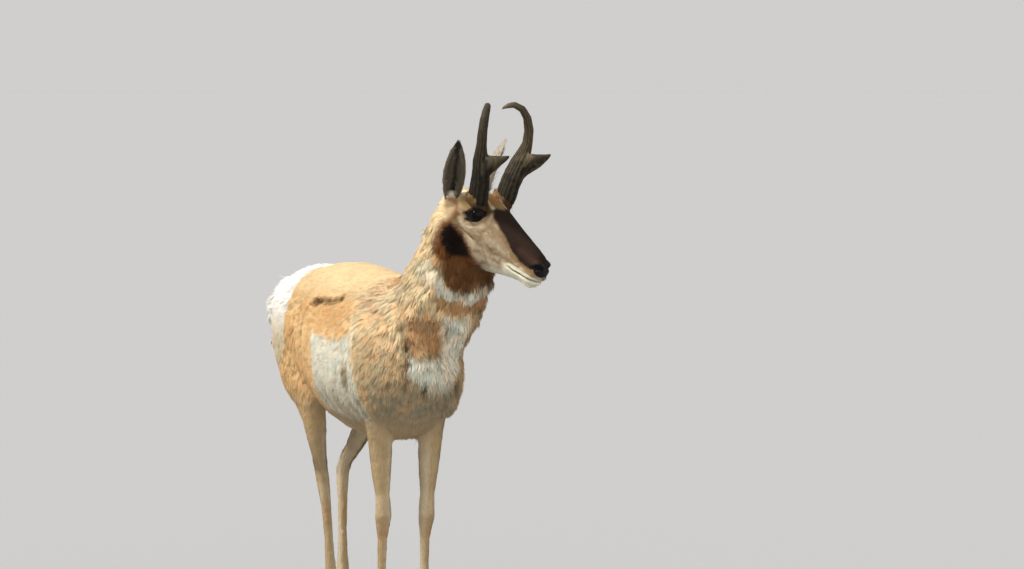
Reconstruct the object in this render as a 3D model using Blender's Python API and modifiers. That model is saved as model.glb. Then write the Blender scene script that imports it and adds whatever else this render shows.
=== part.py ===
"""A life-size pronghorn buck that stands still with its head turned to its left.

Lengths are written in millimetres and built in metres. +Z is up, the animal faces +X,
and its eight hooves stand on z = 0.
"""

import math
import random

import bmesh
import bpy
from mathutils import Matrix, Vector
from mathutils.bvhtree import BVHTree

MM = 0.001
X, Y, Z = Vector((1, 0, 0)), Vector((0, 1, 0)), Vector((0, 0, 1))
SIDES = {"right": -1, "left": 1}

# Driving sizes of the animal
EYE_RADIUS = 22.5
EAR_LENGTH = 160
HOOF_TOP = 38
GAP = 0.3
BODY_TRIANGLES = 4500
HEAD_TRIANGLES = 3500
HORN_TRIANGLES = 480
SHARP_FROM = math.radians(38)

# How the head is carried: turned to the left, nose down, at the place of the poll
HEAD_TURN = math.radians(30)
HEAD_DROP = math.radians(36)
POLL = Vector((436, 101, 1099))

# Colours of the plain materials
TAN = (0.62, 0.40, 0.22)
CREAM = (0.80, 0.74, 0.62)
HORN_BLACK = (0.035, 0.030, 0.028)
HOOF_BLACK = (0.03, 0.028, 0.026)
EYE_BLACK = (0.012, 0.008, 0.006)
LOOKS = {
    "horn": (HORN_BLACK, 0.5),
    "hoof": (HOOF_BLACK, 0.45),
    "eye": (EYE_BLACK, 0.08),
    "tail": (CREAM, 0.9),
}


def head_matrix():
    """Turns the head's own frame (x to the nose, y left, z up from the bridge) into the body's."""
    turn = Matrix.Rotation(HEAD_TURN, 4, "Z") @ Matrix.Rotation(HEAD_DROP, 4, "Y")
    return Matrix.Translation(POLL) @ turn


HEAD = head_matrix()
HEAD_AXES = HEAD.to_3x3()


def in_head(x, y, z):
    return HEAD @ Vector((x, y, z))


# Helpers that make and join closed meshes

def clear_scene():
    for old in list(bpy.data.objects):
        bpy.data.objects.remove(old)


def collection(name, hidden=False):
    made = bpy.data.collections.new(name)
    bpy.context.scene.collection.children.link(made)
    made.hide_render = hidden
    return made


def add_object(name, mesh, where):
    obj = bpy.data.objects.new(name, mesh)
    where.objects.link(obj)
    if where.hide_render:
        obj.hide_render = True
        obj.display_type = "WIRE"
    return obj


def mesh_from(bm, name):
    mesh = bpy.data.meshes.new(name)
    bm.to_mesh(mesh)
    bm.free()
    return mesh


def ring(centre, fore, side, ahead, behind, half_width, count, square=2.0):
    """A closed ring that reaches ahead along fore, behind against it and half_width to each side."""
    points = []
    for i in range(count):
        turn = 2 * math.pi * i / count
        c, s = math.cos(turn), math.sin(turn)
        reach = ahead if c > 0 else behind
        u = math.copysign(abs(c) ** (2 / square), c)
        v = math.copysign(abs(s) ** (2 / square), s)
        points.append(centre + fore * (reach * u) + side * (half_width * v))
    return points


def loft(name, rings, where):
    """A closed mesh through rings of the same number of points, with a fan on each end."""
    bm = bmesh.new()
    rows = [[bm.verts.new(p * MM) for p in points] for points in rings]
    count = len(rows[0])
    for low, high in zip(rows, rows[1:]):
        for i in range(count):
            j = (i + 1) % count
            bm.faces.new((low[i], low[j], high[j], high[i]))
    for row, points in ((rows[0], rings[0]), (rows[-1], rings[-1])):
        centre = bm.verts.new(sum(points, Vector()) / count * MM)
        for i in range(count):
            bm.faces.new((row[i], row[(i + 1) % count], centre))
    bmesh.ops.recalc_face_normals(bm, faces=bm.faces)
    return add_object(name, mesh_from(bm, name), where)


def sweep(name, stations, fore, where, count=20):
    """A closed tube through stations of (centre, ahead, behind, half width), square to its own path."""
    centres = [Vector(s[0]) for s in stations]
    rings = []
    for i, (_, ahead, behind, half_width, *more) in enumerate(stations):
        along = (centres[min(i + 1, len(centres) - 1)] - centres[max(i - 1, 0)]).normalized()
        hint = fore(i) if callable(fore) else fore
        front = (hint - along * hint.dot(along)).normalized()
        side = along.cross(front)
        rings.append(ring(centres[i], front, side, ahead, behind, half_width, count, *more))
    return loft(name, rings, where)


def blob(name, centre, radii, where, axes=None):
    """An ellipsoid, for a muscle or another soft swelling."""
    bm = bmesh.new()
    bmesh.ops.create_icosphere(bm, subdivisions=3, radius=1.0)
    shape = Matrix.Diagonal(Vector(radii) * MM).to_4x4()
    turn = (axes or Matrix.Identity(3)).to_4x4()
    bm.transform(Matrix.Translation(Vector(centre) * MM) @ turn @ shape)
    return add_object(name, mesh_from(bm, name), where)


def evaluated_mesh(obj):
    graph = bpy.context.evaluated_depsgraph_get()
    return bpy.data.meshes.new_from_object(obj.evaluated_get(graph))


def apply_modifiers(obj):
    obj.data = evaluated_mesh(obj)
    obj.modifiers.clear()
    return obj


def join(name, pieces, where):
    """All pieces in one object, still as separate closed shells."""
    bm = bmesh.new()
    for piece in pieces:
        bm.from_mesh(piece.data)
        bpy.data.objects.remove(piece)
    mesh = bpy.data.meshes.new(name)
    bm.to_mesh(mesh)
    bm.free()
    return add_object(name, mesh, where)


def weights(obj, name, weight_at):
    """A vertex group whose weight at each vertex comes from its place, in millimetres."""
    group = obj.vertex_groups.new(name=name)
    for v in obj.data.vertices:
        group.add([v.index], weight_at(v.co / MM), "REPLACE")
    return group.name


def smooth(obj, times, group=""):
    modifier = obj.modifiers.new("smooth", "SMOOTH")
    modifier.factor = 0.5
    modifier.iterations = times
    modifier.vertex_group = group
    return apply_modifiers(obj)


def fuse(obj, voxel):
    modifier = obj.modifiers.new("fuse", "REMESH")
    modifier.mode = "VOXEL"
    modifier.voxel_size = voxel * MM
    return apply_modifiers(obj)


def thin_out(obj, triangles):
    """Collapses edges until about this many triangles are left."""
    have = sum(len(p.vertices) - 2 for p in obj.data.polygons)
    modifier = obj.modifiers.new("thin_out", "DECIMATE")
    modifier.ratio = min(1.0, triangles / have)
    return apply_modifiers(obj)


def ramp(value, low, high):
    share = min(1.0, max(0.0, (value - low) / (high - low)))
    return share * share * (3 - 2 * share)


# Trunk: x, top, bottom, half width, height of the widest place, squareness

TRUNK = [
    (-515, 800, 690, 60, 750, 2.0),
    (-500, 846, 655, 106, 748, 2.1),
    (-462, 876, 618, 140, 748, 2.0),
    (-405, 887, 585, 150, 745, 1.95),
    (-340, 893, 560, 151, 737, 1.95),
    (-240, 905, 545, 151, 725, 2.05),
    (-150, 911, 518, 160, 708, 2.1),
    (-70, 910, 490, 169, 695, 2.1),
    (20, 899, 479, 173, 685, 2.1),
    (100, 892, 474, 169, 680, 2.1),
    (180, 894, 474, 156, 680, 2.1),
    (245, 888, 481, 143, 675, 2.1),
    (295, 855, 500, 131, 668, 2.0),
    (335, 806, 530, 112, 662, 2.0),
    (367, 756, 566, 86, 656, 2.0),
    (390, 712, 602, 56, 652, 2.0),
    (401, 678, 630, 24, 652, 2.0),
]


def build_trunk(where):
    rings = []
    for x, top, bottom, half_width, widest, square in TRUNK:
        centre = Vector((x, 0, widest))
        rings.append(ring(centre, Z, -Y, top - widest, widest - bottom, half_width, 28, square))
    pieces = [loft("trunk_form", rings, where)]
    for side in SIDES.values():
        for name, (x, y, z), radii, pitch in (
            ("shoulder", (258, 86, 690), (74, 58, 165), -22),
            ("point_of_shoulder", (318, 72, 612), (46, 42, 58), 0),
            ("haunch", (-362, 84, 715), (120, 68, 140), 16),
        ):
            turn = Matrix.Rotation(math.radians(pitch), 3, "Y")
            pieces.append(blob(name, (x, side * y, z), radii, where, turn))
    return pieces


# Neck: centre, reach to the nape, reach to the throat, half width

NECK = [
    ((165, 14, 732), 150, 150, 124),
    ((250, 46, 782), 120, 150, 120),
    ((318, 68, 848), 98, 126, 110),
    ((368, 82, 915), 90, 108, 99),
    ((402, 91, 978), 87, 92, 90),
    ((425, 97, 1034), 80, 78, 78),
    ((438, 101, 1078), 64, 58, 60),
]


def build_neck(where):
    def nape(i):
        turn = HEAD_TURN * i / (len(NECK) - 1)
        return Matrix.Rotation(turn, 3, "Z") @ Vector((-0.8, 0, 0.6))

    return [sweep("neck_form", NECK, nape, where, 24)]


# Head, in its own frame: x from the poll, top, bottom, half width, height of the widest place

SKULL = [
    (-42, -22, -70, 30, -45, 2.0),
    (-30, -4, -88, 46, -45, 2.0),
    (-8, 14, -106, 56, -42, 2.0),
    (25, 30, -122, 61, -30, 2.0),
    (60, 40, -129, 61, -18, 2.0),
    (95, 43, -131, 56, -8, 2.0),
    (130, 41, -126, 50, -4, 2.0),
    (165, 38, -113, 43, -6, 2.05),
    (200, 36, -94, 36, -8, 2.1),
    (235, 33, -77, 31, -10, 2.2),
    (262, 31, -67, 28, -12, 2.3),
    (285, 27, -62, 27, -13, 2.3),
    (300, 19, -56, 25, -14, 2.2),
    (311, 9, -44, 19, -15, 2.1),
    (318, -4, -30, 9, -15, 2.0),
]
EYE = Vector((86, 41, 3))


def build_skull(where):
    up, left = HEAD_AXES @ Z, HEAD_AXES @ Y
    rings = []
    for x, top, bottom, half_width, widest, square in SKULL:
        centre = in_head(x, 0, widest)
        rings.append(ring(centre, up, left, top - widest, widest - bottom, half_width, 28, square))
    pieces = [loft("skull_form", rings, where)]
    for side in SIDES.values():
        for name, centre, radii, pitch in (
            ("orbit", (85, 40, 4), (34, 27, 29), 0),
            ("brow", (68, 46, 34), (34, 25, 24), 0),
            ("cheek", (96, 30, -72), (62, 25, 48), 22),
            ("cheek_ridge", (132, 38, -22), (52, 12, 14), 18),
            ("nostril_wing", (297, 15, 4), (18, 13, 16), 20),
            ("upper_lip", (274, 14, -26), (32, 16, 14), 8),
            ("chin", (279, 7, -50), (28, 13, 11), 4),
            ("ear_root", (0, 50, -16), (22, 18, 24), 0),
        ):
            x, y, z = centre
            turn = HEAD_AXES @ Matrix.Rotation(math.radians(pitch), 3, "Y")
            pieces.append(blob(name, in_head(x, side * y, z), radii, where, turn))
    return pieces


# Legs: centre, reach ahead, reach behind, half width

FORELEG = {
    "right": [
        ((236, -72, 650), 70, 70, 40),
        ((236, -66, 600), 66, 62, 44),
        ((234, -62, 540), 56, 52, 40),
        ((231, -60, 490), 44, 42, 34),
        ((231, -58, 440), 34, 36, 29),
        ((232, -57, 390), 27, 30, 24),
        ((234, -55, 345), 22, 23, 19),
        ((236, -54, 312), 24, 20, 21),
        ((236, -54, 290), 25, 19, 22),
        ((233, -54, 266), 19, 18, 19),
        ((230, -54, 235), 14, 16, 14),
        ((229, -55, 170), 13, 15, 12.5),
        ((228, -56, 125), 15, 17, 14.5),
        ((229, -56, 98), 17, 21, 18),
        ((237, -56, 72), 15, 18, 17),
        ((246, -56, 48), 17, 20, 20),
        ((254, -56, 24), 20, 23, 22),
    ],
    "left": [
        ((236, 72, 650), 70, 70, 40),
        ((236, 72, 600), 66, 62, 44),
        ((234, 72, 540), 56, 52, 40),
        ((231, 71, 490), 44, 42, 34),
        ((231, 69, 440), 34, 36, 29),
        ((232, 66, 390), 27, 30, 24),
        ((234, 63, 345), 22, 23, 19),
        ((236, 60, 312), 24, 20, 21),
        ((236, 60, 290), 25, 19, 22),
        ((233, 59, 266), 19, 18, 19),
        ((230, 58, 235), 14, 16, 14),
        ((229, 57, 170), 13, 15, 12.5),
        ((228, 56, 125), 15, 17, 14.5),
        ((229, 56, 98), 17, 21, 18),
        ((237, 56, 72), 15, 18, 17),
        ((246, 56, 48), 17, 20, 20),
        ((254, 56, 24), 20, 23, 22),
    ],
}
HINDLEG = {
    "right": [
        ((-318, -80, 705), 150, 170, 56),
        ((-285, -90, 645), 118, 160, 54),
        ((-258, -92, 592), 92, 128, 47),
        ((-243, -89, 545), 64, 86, 38),
        ((-238, -84, 500), 46, 58, 31),
        ((-240, -78, 455), 32, 42, 26),
        ((-244, -70, 410), 23, 30, 20),
        ((-258, -60, 372), 19, 30, 17),
        ((-262, -55, 345), 21, 28, 18),
        ((-260, -52, 318), 20, 22, 17),
        ((-254, -49, 280), 16, 17, 14),
        ((-245, -45, 200), 14, 15, 12.5),
        ((-237, -43, 128), 15, 17, 14.5),
        ((-234, -42, 98), 17, 21, 18),
        ((-227, -42, 72), 15, 18, 17),
        ((-219, -42, 48), 17, 20, 20),
        ((-211, -42, 24), 20, 23, 22),
    ],
    "left": [
        ((-335, 82, 705), 150, 155, 56),
        ((-318, 92, 645), 124, 146, 54),
        ((-303, 97, 592), 98, 120, 47),
        ((-305, 96, 545), 70, 84, 39),
        ((-325, 90, 500), 48, 56, 33),
        ((-358, 80, 458), 33, 39, 27),
        ((-398, 70, 412), 23, 27, 20),
        ((-436, 63, 378), 20, 28, 17),
        ((-452, 60, 350), 21, 28, 18),
        ((-452, 58, 320), 20, 22, 17),
        ((-447, 57, 280), 16, 17, 14),
        ((-438, 54, 200), 14, 15, 12.5),
        ((-430, 52, 128), 15, 17, 14.5),
        ((-427, 51, 98), 17, 21, 18),
        ((-420, 50, 72), 15, 18, 17),
        ((-412, 50, 48), 17, 20, 20),
        ((-404, 50, 24), 20, 23, 22),
    ],
}


def build_legs(where):
    legs = []
    for side in SIDES:
        legs.append(sweep("foreleg_form", FORELEG[side], X, where, 16))
        legs.append(sweep("hindleg_form", HINDLEG[side], X, where, 16))
    return legs


# Horns, in the head's frame, for the left side: centre, fore reach, back reach, half width

HORN = [
    ((68, 51, 33), 30, 30, 21),
    ((65, 53, 50), 30, 29, 20),
    ((58, 56, 68), 29, 28, 19),
    ((50, 60, 90), 31, 26, 18),
    ((44, 66, 110), 32, 26, 16.5),
    ((38, 74, 130), 28, 24, 15),
    ((32, 81, 152), 19, 20, 13.5),
    ((24, 86, 174), 14, 15, 12.5),
    ((8, 87, 203), 12.5, 13.5, 11.5),
    ((-10, 80, 228), 11.5, 12.5, 10.5),
    ((-27, 67, 243), 10, 11, 9.5),
    ((-42, 50, 245), 8.5, 9.5, 8.5),
    ((-50, 37, 236), 6.5, 7, 6.5),
    ((-54, 26, 222), 3, 3, 3),
]
PRONG = [
    ((44, 70, 118), 28, 34, 14),
    ((62, 77, 146), 22, 27, 12.5),
    ((80, 80, 168), 14, 19, 10),
    ((97, 79, 190), 7, 10, 6.5),
    ((107, 77, 204), 3, 3.5, 3),
]


def build_horn(side, where):
    sign = SIDES[side]
    fore = HEAD_AXES @ X

    def placed(stations):
        return [(in_head(x, sign * y, z), *more) for (x, y, z), *more in stations]

    shaft = sweep("shaft_form", placed(HORN), fore, where, 16)
    prong = sweep("prong_form", placed(PRONG), HEAD_AXES @ Vector((-0.7, 0, 0.7)), where, 14)
    horn = fuse(join("horn_" + side, [shaft, prong], where), 3)
    smooth(horn, 6)
    return thin_out(horn, HORN_TRIANGLES)


# Ears: share of the length, half width, depth of the cup, opening half angle in degrees

EAR = [
    (-0.10, 13, 11, 150),
    (0.00, 17, 15, 140),
    (0.12, 22, 19, 122),
    (0.28, 27, 21, 108),
    (0.45, 28, 20, 98),
    (0.62, 25, 17, 90),
    (0.78, 19, 12, 82),
    (0.90, 11, 7, 76),
    (0.98, 5, 4, 70),
]
EAR_ROOT = Vector((-2, 52, -12))
EAR_AIM = Vector((-0.232, 0.238, 0.943)).normalized()
EAR_CUP = Vector((0.50, 0.80, 0.10))
EAR_WALL = 5.0
EAR_STEPS = 7
EAR_SEAT_GAP = 1.5


def build_ear(side, where):
    sign = SIDES[side]
    flip = Matrix.Diagonal((1, sign, 1))
    aim = (HEAD_AXES @ (flip @ EAR_AIM)).normalized()
    open_way = HEAD_AXES @ (flip @ EAR_CUP)
    open_way = (open_way - aim * open_way.dot(aim)).normalized()
    across = aim.cross(open_way)
    root = in_head(EAR_ROOT.x, sign * EAR_ROOT.y, EAR_ROOT.z)
    rings = []
    for share, half_width, depth, half_angle in EAR:
        middle = root + aim * (EAR_LENGTH * share)
        spread = math.radians(half_angle)
        widest = max(math.sin(min(spread, math.pi / 2)), 0.05)
        outer, inner = [], []
        for i in range(EAR_STEPS + 1):
            a = spread * (2 * i / EAR_STEPS - 1)
            for points, trim in ((outer, 0), (inner, 1)):
                thin = EAR_WALL * min(1.0, half_width / 14) * trim
                reach = max(depth - thin, 0.5)
                width = max(half_width - thin, 0.5) / widest
                points.append(middle - open_way * (reach * math.cos(a)) + across * (width * math.sin(a)))
        rings.append(outer + inner[::-1])
    bm = bmesh.new()
    rows = [[bm.verts.new(p * MM) for p in points] for points in rings]
    count = len(rows[0])
    for low, high in zip(rows, rows[1:]):
        for i in range(count):
            j = (i + 1) % count
            bm.faces.new((low[i], low[j], high[j], high[i]))
    for row in (rows[0], rows[-1]):
        for i in range(EAR_STEPS):
            bm.faces.new((row[i], row[i + 1], row[count - 2 - i], row[count - 1 - i]))
    bmesh.ops.recalc_face_normals(bm, faces=bm.faces)
    return add_object("ear_" + side, mesh_from(bm, "ear"), where)


TAIL = [
    ((-462, 0, 806), 24, 22, 27),
    ((-492, 0, 802), 22, 20, 28),
    ((-516, 0, 780), 17, 17, 26),
    ((-528, 0, 748), 13, 14, 21),
    ((-533, 0, 720), 9, 9, 13),
    ((-534, 0, 704), 3, 3, 5),
]


def build_tail(where):
    return sweep("tail", TAIL, Vector((-1, 0, 0.3)), where, 14)


def build_eye(side, where):
    x, y, z = EYE
    centre = in_head(x, SIDES[side] * y, z)
    return blob("eye_" + side, centre, (EYE_RADIUS,) * 3, where)


# Toes: height, reach to the tip, reach to the heel, half width

TOE = [
    (0, 35, 27, 11.5),
    (6, 34, 27, 11.6),
    (22, 26, 25, 11.2),
    (HOOF_TOP - GAP, 18, 22, 10.4),
]
TOE_SPREAD = 12.4
TOE_POINT = 0.5


def build_toe(name, foot, outward, where):
    rings = []
    for z, ahead, behind, half_width in TOE:
        centre = Vector((foot.x, foot.y + outward * TOE_SPREAD, z))
        points = ring(centre, X, Y, ahead, behind, half_width, 14, 2.3)
        for p in points:
            share = max(0.0, (p.x - centre.x) / ahead)
            p.y = foot.y + outward * TOE_SPREAD + (p.y - centre.y) * (1 - TOE_POINT * share * share)
        rings.append(points)
    return loft(name, rings, where)


FEET = {
    "fore_right": Vector((250, -56, 0)),
    "fore_left": Vector((250, 56, 0)),
    "hind_right": Vector((-215, -42, 0)),
    "hind_left": Vector((-408, 50, 0)),
}

# Cuts: where the flesh is parted, as (centre, direction, radius), and the name of each part

HEAD_CUT = (in_head(58, 0, -74), HEAD_AXES @ Vector((0.497, 0, 0.868)), 175)
CUTS = [
    (Vector((300, 62, 832)), Vector((0.68, 0.24, 0.69)), 205),
    (Vector((231, -59, 462)), Z, 62),
    (Vector((231, 70, 462)), Z, 62),
    (Vector((236, -54, 303)), Z, 40),
    (Vector((236, 60, 303)), Z, 40),
    (Vector((-242, -84, 500)), Z, 80),
    (Vector((-328, 90, 500)), Z, 82),
    (Vector((-262, -54, 340)), Z, 45),
    (Vector((-450, 60, 342)), Z, 60),
]
PARTS = {
    "torso": Vector((0, 0, 700)),
    "neck": Vector((395, 85, 960)),
    "head": in_head(150, 0, -30),
    "foreleg_upper_right": Vector((232, -56, 380)),
    "foreleg_upper_left": Vector((232, 65, 380)),
    "foreleg_lower_right": Vector((230, -55, 150)),
    "foreleg_lower_left": Vector((230, 57, 150)),
    "hindleg_upper_right": Vector((-235, -75, 430)),
    "hindleg_upper_left": Vector((-385, 75, 430)),
    "hindleg_lower_right": Vector((-245, -46, 180)),
    "hindleg_lower_left": Vector((-435, 54, 180)),
}


def disc(centre, direction, radius, where):
    bm = bmesh.new()
    size = {"radius1": radius * MM, "radius2": radius * MM, "depth": GAP * MM}
    bmesh.ops.create_cone(bm, cap_ends=True, segments=32, **size)
    turn = direction.to_track_quat("Z", "Y").to_matrix().to_4x4()
    bm.transform(Matrix.Translation(centre * MM) @ turn)
    return add_object("disc", mesh_from(bm, "disc"), where)


def block(low, high, where):
    bm = bmesh.new()
    bmesh.ops.create_cube(bm, size=1.0)
    size = Matrix.Diagonal((high - low) * MM).to_4x4()
    bm.transform(Matrix.Translation((low + high) * (MM / 2)) @ size)
    return add_object("block", mesh_from(bm, "block"), where)


def grown(obj, by, where):
    """A copy whose surface lies further out, to cut the seat that the object sits in."""
    bm = bmesh.new()
    bm.from_mesh(obj.data)
    bm.normal_update()
    for v in bm.verts:
        v.co += v.normal * (by * MM)
    return add_object("seat", mesh_from(bm, "seat"), where)


def cut(obj, cutters, solver="EXACT", operation="DIFFERENCE"):
    """One Boolean with all the cutters, applied; the cutters are removed."""
    group = bpy.data.collections.new("cutters_of_" + obj.name)
    for cutter in cutters:
        group.objects.link(cutter)
    modifier = obj.modifiers.new("cut", "BOOLEAN")
    modifier.operand_type = "COLLECTION"
    modifier.collection = group
    modifier.operation = operation
    modifier.solver = solver
    bpy.context.view_layer.update()
    apply_modifiers(obj)
    for cutter in cutters:
        bpy.data.objects.remove(cutter)
    bpy.data.collections.remove(group)
    return obj


def shells(obj):
    """The separate closed shells of a mesh, each as its own bmesh."""
    bm = bmesh.new()
    bm.from_mesh(obj.data)
    bm.verts.ensure_lookup_table()
    seen = set()
    for first in bm.verts:
        if first.index in seen:
            continue
        group, front = [], [first]
        seen.add(first.index)
        while front:
            v = front.pop()
            group.append(v)
            for edge in v.link_edges:
                other = edge.other_vert(v)
                if other.index not in seen:
                    seen.add(other.index)
                    front.append(other)
        kept = set(group)
        yield part_of(bm, kept)
    bm.free()


def part_of(bm, kept):
    piece = bmesh.new()
    made = {v: piece.verts.new(v.co) for v in bm.verts if v in kept}
    for face in bm.faces:
        if face.verts[0] in kept:
            piece.faces.new([made[v] for v in face.verts])
    return piece


def centre_of(bm):
    total = sum((v.co for v in bm.verts), Vector())
    return total / len(bm.verts) / MM


def part_nodes(flesh, names, where):
    """Gives each shell the name of the nearest place in PARTS, and leaves out the crumbs."""
    nodes = {}
    for piece in shells(flesh):
        if len(piece.verts) > 60:
            middle = centre_of(piece)
            name = min(names, key=lambda n: (PARTS[n] - middle).length)
            nodes[name] = add_object(name, mesh_from(piece, name), where)
        else:
            piece.free()
    bpy.data.objects.remove(flesh)
    return nodes


def build_body(where, forms, cutters):
    """The torso, neck and legs: one fused mesh, parted by thin discs."""
    pieces = build_trunk(forms) + build_neck(forms) + build_skull(forms) + build_legs(forms)
    flesh = join("flesh", pieces, where)
    fuse(flesh, 5)
    smooth(flesh, 5)
    soft = weights(flesh, "soft", lambda p: ramp(p.z, 500, 600) * (1 - ramp(p.z, 930, 1000)))
    smooth(flesh, 50, soft)
    thin_out(flesh, BODY_TRIANGLES)
    knives = [disc(*spec, cutters) for spec in [HEAD_CUT] + CUTS]
    knives.append(block(Vector((-800, -400, -100)), Vector((800, 400, HOOF_TOP)), cutters))
    cut(flesh, knives, "MANIFOLD")
    nodes = part_nodes(flesh, PARTS, where)
    bpy.data.objects.remove(nodes.pop("head"))
    return nodes


def build_head(where, forms, cutters):
    """The head in a finer mesh, cut off the neck by the same disc as the body's."""
    flesh = join("head_flesh", build_neck(forms) + build_skull(forms), where)
    fuse(flesh, 3)
    smooth(flesh, 9)
    thin_out(flesh, HEAD_TRIANGLES)
    cut(flesh, [disc(*HEAD_CUT, cutters)], "MANIFOLD")
    nodes = part_nodes(flesh, ("head", "neck"), where)
    bpy.data.objects.remove(nodes["neck"])
    return nodes["head"]


def eye_opening(side, where):
    """An almond that cuts the lids open in front of the eyeball."""
    x, y, z = EYE
    opening = blob("opening", (0, 0, 0), (22, 20, 13.5), where)
    turn = HEAD_AXES @ Matrix.Rotation(math.radians(-22), 3, "Y")
    centre = in_head(x + 2, SIDES[side] * (y + 24), z)
    opening.data.transform(Matrix.Translation(centre * MM) @ turn.to_4x4())
    return opening


def nostril(side, where):
    turn = HEAD_AXES @ Matrix.Rotation(math.radians(-35), 3, "Y")
    return blob("nostril", in_head(305, SIDES[side] * 24, 3), (10, 9, 5), where, turn)


def mouth(side, where):
    sign = SIDES[side]
    path = [(318, 0, -27), (306, 17, -31), (286, 27, -38), (262, 30, -43), (236, 32, -47)]
    radii = [2.6, 2.6, 2.4, 2.2, 1.2]
    stations = [(in_head(x, sign * y, z), r, r, r) for (x, y, z), r in zip(path, radii)]
    return sweep("mouth", stations, HEAD_AXES @ Z, where, 8)


# Long coat, as flat tapered locks: the mane on the nape, the flared rump and the ruff on the chest

LOCK_SEED = 11
LOCK_SINK = 9
LOCK_THICKNESS = 4.5
TRIM_DEPTH = 120
RUMP_MIDDLE = Vector((-395, 0, 755))
TAIL_ROOT = Vector((-500, 0, 800))


def lock(root, normal, lie, length, width, lift, where):
    """A flat lock of three-sided sections that leaves the coat at its root and bends down along the lie."""
    lie = (lie - normal * lie.dot(normal)).normalized()
    across = lie.cross(normal)
    start = root - normal * LOCK_SINK - lie * (0.12 * length)
    rings = []
    for share, wide, high in ((0.0, 0.8, 0.0), (0.34, 1.0, 0.62), (0.68, 0.72, 1.0)):
        centre = start + lie * (length * share) + normal * ((LOCK_SINK + lift) * high)
        half, thick = width * wide / 2, LOCK_THICKNESS * (1 - 0.45 * share)
        rings.append([centre - across * half, centre + normal * (thick * 0.6), centre + across * half])
    tip = start + lie * length + normal * ((LOCK_SINK + lift) * 0.93)
    bm = bmesh.new()
    rows = [[bm.verts.new(p * MM) for p in points] for points in rings]
    under = [bm.verts.new((points[1] - normal * LOCK_THICKNESS) * MM) for points in rings]
    rows = [[row[0], row[1], row[2], low] for row, low in zip(rows, under)]
    end = bm.verts.new(tip * MM)
    bm.faces.new(rows[0])
    for low, high in zip(rows, rows[1:]):
        for i in range(4):
            j = (i + 1) % 4
            bm.faces.new((low[i], low[j], high[j], high[i]))
    for i in range(4):
        bm.faces.new((rows[-1][i], rows[-1][(i + 1) % 4], end))
    bmesh.ops.recalc_face_normals(bm, faces=bm.faces)
    bmesh.ops.triangulate(bm, faces=bm.faces)
    return add_object("lock", mesh_from(bm, "lock"), where)


def surface(tree, start, way):
    """Where a ray from inside the body leaves it, in millimetres, with the outward normal."""
    place, normal, _, _ = tree.ray_cast(start * MM, way.normalized())
    return (place / MM, normal) if place else (None, None)


def tree_of(obj):
    mesh = obj.data
    points = [v.co for v in mesh.vertices]
    return BVHTree.FromPolygons(points, [tuple(p.vertices) for p in mesh.polygons])


def rump_locks(torso, rng, where):
    """Rows that fan out round the root of the tail, over both buttocks."""
    tree = tree_of(torso)
    made = []
    for side in SIDES.values():
        for row, (rise, count) in enumerate(((44, 5), (24, 6), (5, 6), (-14, 5), (-31, 4))):
            for i in range(count):
                turn = math.radians(19 + 56 * (i + 0.3 * (row % 2) + rng.uniform(-0.12, 0.12)) / count)
                up = math.radians(rise + rng.uniform(-3, 3))
                out = Vector((-math.cos(turn), side * math.sin(turn), 0))
                place, normal = surface(tree, RUMP_MIDDLE, out * math.cos(up) + Z * math.sin(up))
                if place:
                    lie = (place - TAIL_ROOT).normalized() + Vector((0, 0, -0.55))
                    length, width, lift = rng.uniform(62, 76), rng.uniform(20, 25), rng.uniform(4, 8)
                    made.append(lock(place, normal, lie, length, width, lift, where))
    return made


def neck_place(share):
    """A point on the middle line of the neck, and the way that line runs."""
    along = share * (len(NECK) - 1)
    i = min(int(along), len(NECK) - 2)
    low, high = Vector(NECK[i][0]), Vector(NECK[i + 1][0])
    return low.lerp(high, along - i), (high - low).normalized()


def neck_locks(neck, rng, where):
    """The mane in rows down the nape, and the ruff on the throat and the front of the neck."""
    tree = tree_of(neck)
    made = []
    for low, high, rows, spread, middle, length, width, lift in (
        (0.40, 0.97, 7, (-24, 0, 24), 180, 68, 24, 13),
        (0.36, 0.70, 5, (-62, -31, 0, 31, 62), 0, 76, 32, 11),
    ):
        for row in range(rows):
            share = low + (high - low) * row / (rows - 1)
            for k, angle in enumerate(spread):
                middle_line, way_up = neck_place(share + rng.uniform(-0.015, 0.015) + 0.03 * (k % 2))
                turn = Matrix.Rotation(HEAD_TURN * share, 3, "Z")
                throat = turn @ Vector((0.8, 0, -0.6))
                spin = Matrix.Rotation(math.radians(middle + angle + rng.uniform(-5, 5)), 3, way_up)
                place, normal = surface(tree, middle_line, spin @ throat)
                if place and normal.dot(way_up) < 0.8:
                    lie = -way_up + Vector((0, 0, -0.35))
                    size = length * rng.uniform(0.88, 1.1)
                    made.append(lock(place, normal, lie, size, width, lift, where))
    return made


def beyond(centre, direction, radius, where):
    """A thick disc on the far side of a cut, which trims what reaches across it."""
    spec = disc(centre, direction, radius, where)
    slack = 0.1 * MM
    way = direction.normalized()
    for v in spec.data.vertices:
        if (v.co - centre * MM).dot(way) > 0:
            v.co += way * (TRIM_DEPTH * MM)
        else:
            v.co += way * slack
    return spec


def grow_locks(node, locks, trims):
    """Joins the locks to the node in one union, trims them at its neighbours and keeps the largest piece."""
    cut(node, locks, "MANIFOLD", "UNION")
    cut(node, trims, "MANIFOLD")
    whole = sorted(shells(node), key=lambda piece: len(piece.verts))
    old = node.data
    node.data = mesh_from(whole.pop(), node.name)
    bpy.data.meshes.remove(old)
    for piece in whole:
        piece.free()
    return len(locks)


def plain_material(name, colour, roughness):
    material = bpy.data.materials.new(name)
    material.use_nodes = True
    shader = material.node_tree.nodes["Principled BSDF"]
    shader.inputs["Base Color"].default_value = (*colour, 1)
    shader.inputs["Roughness"].default_value = roughness
    return material


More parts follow.
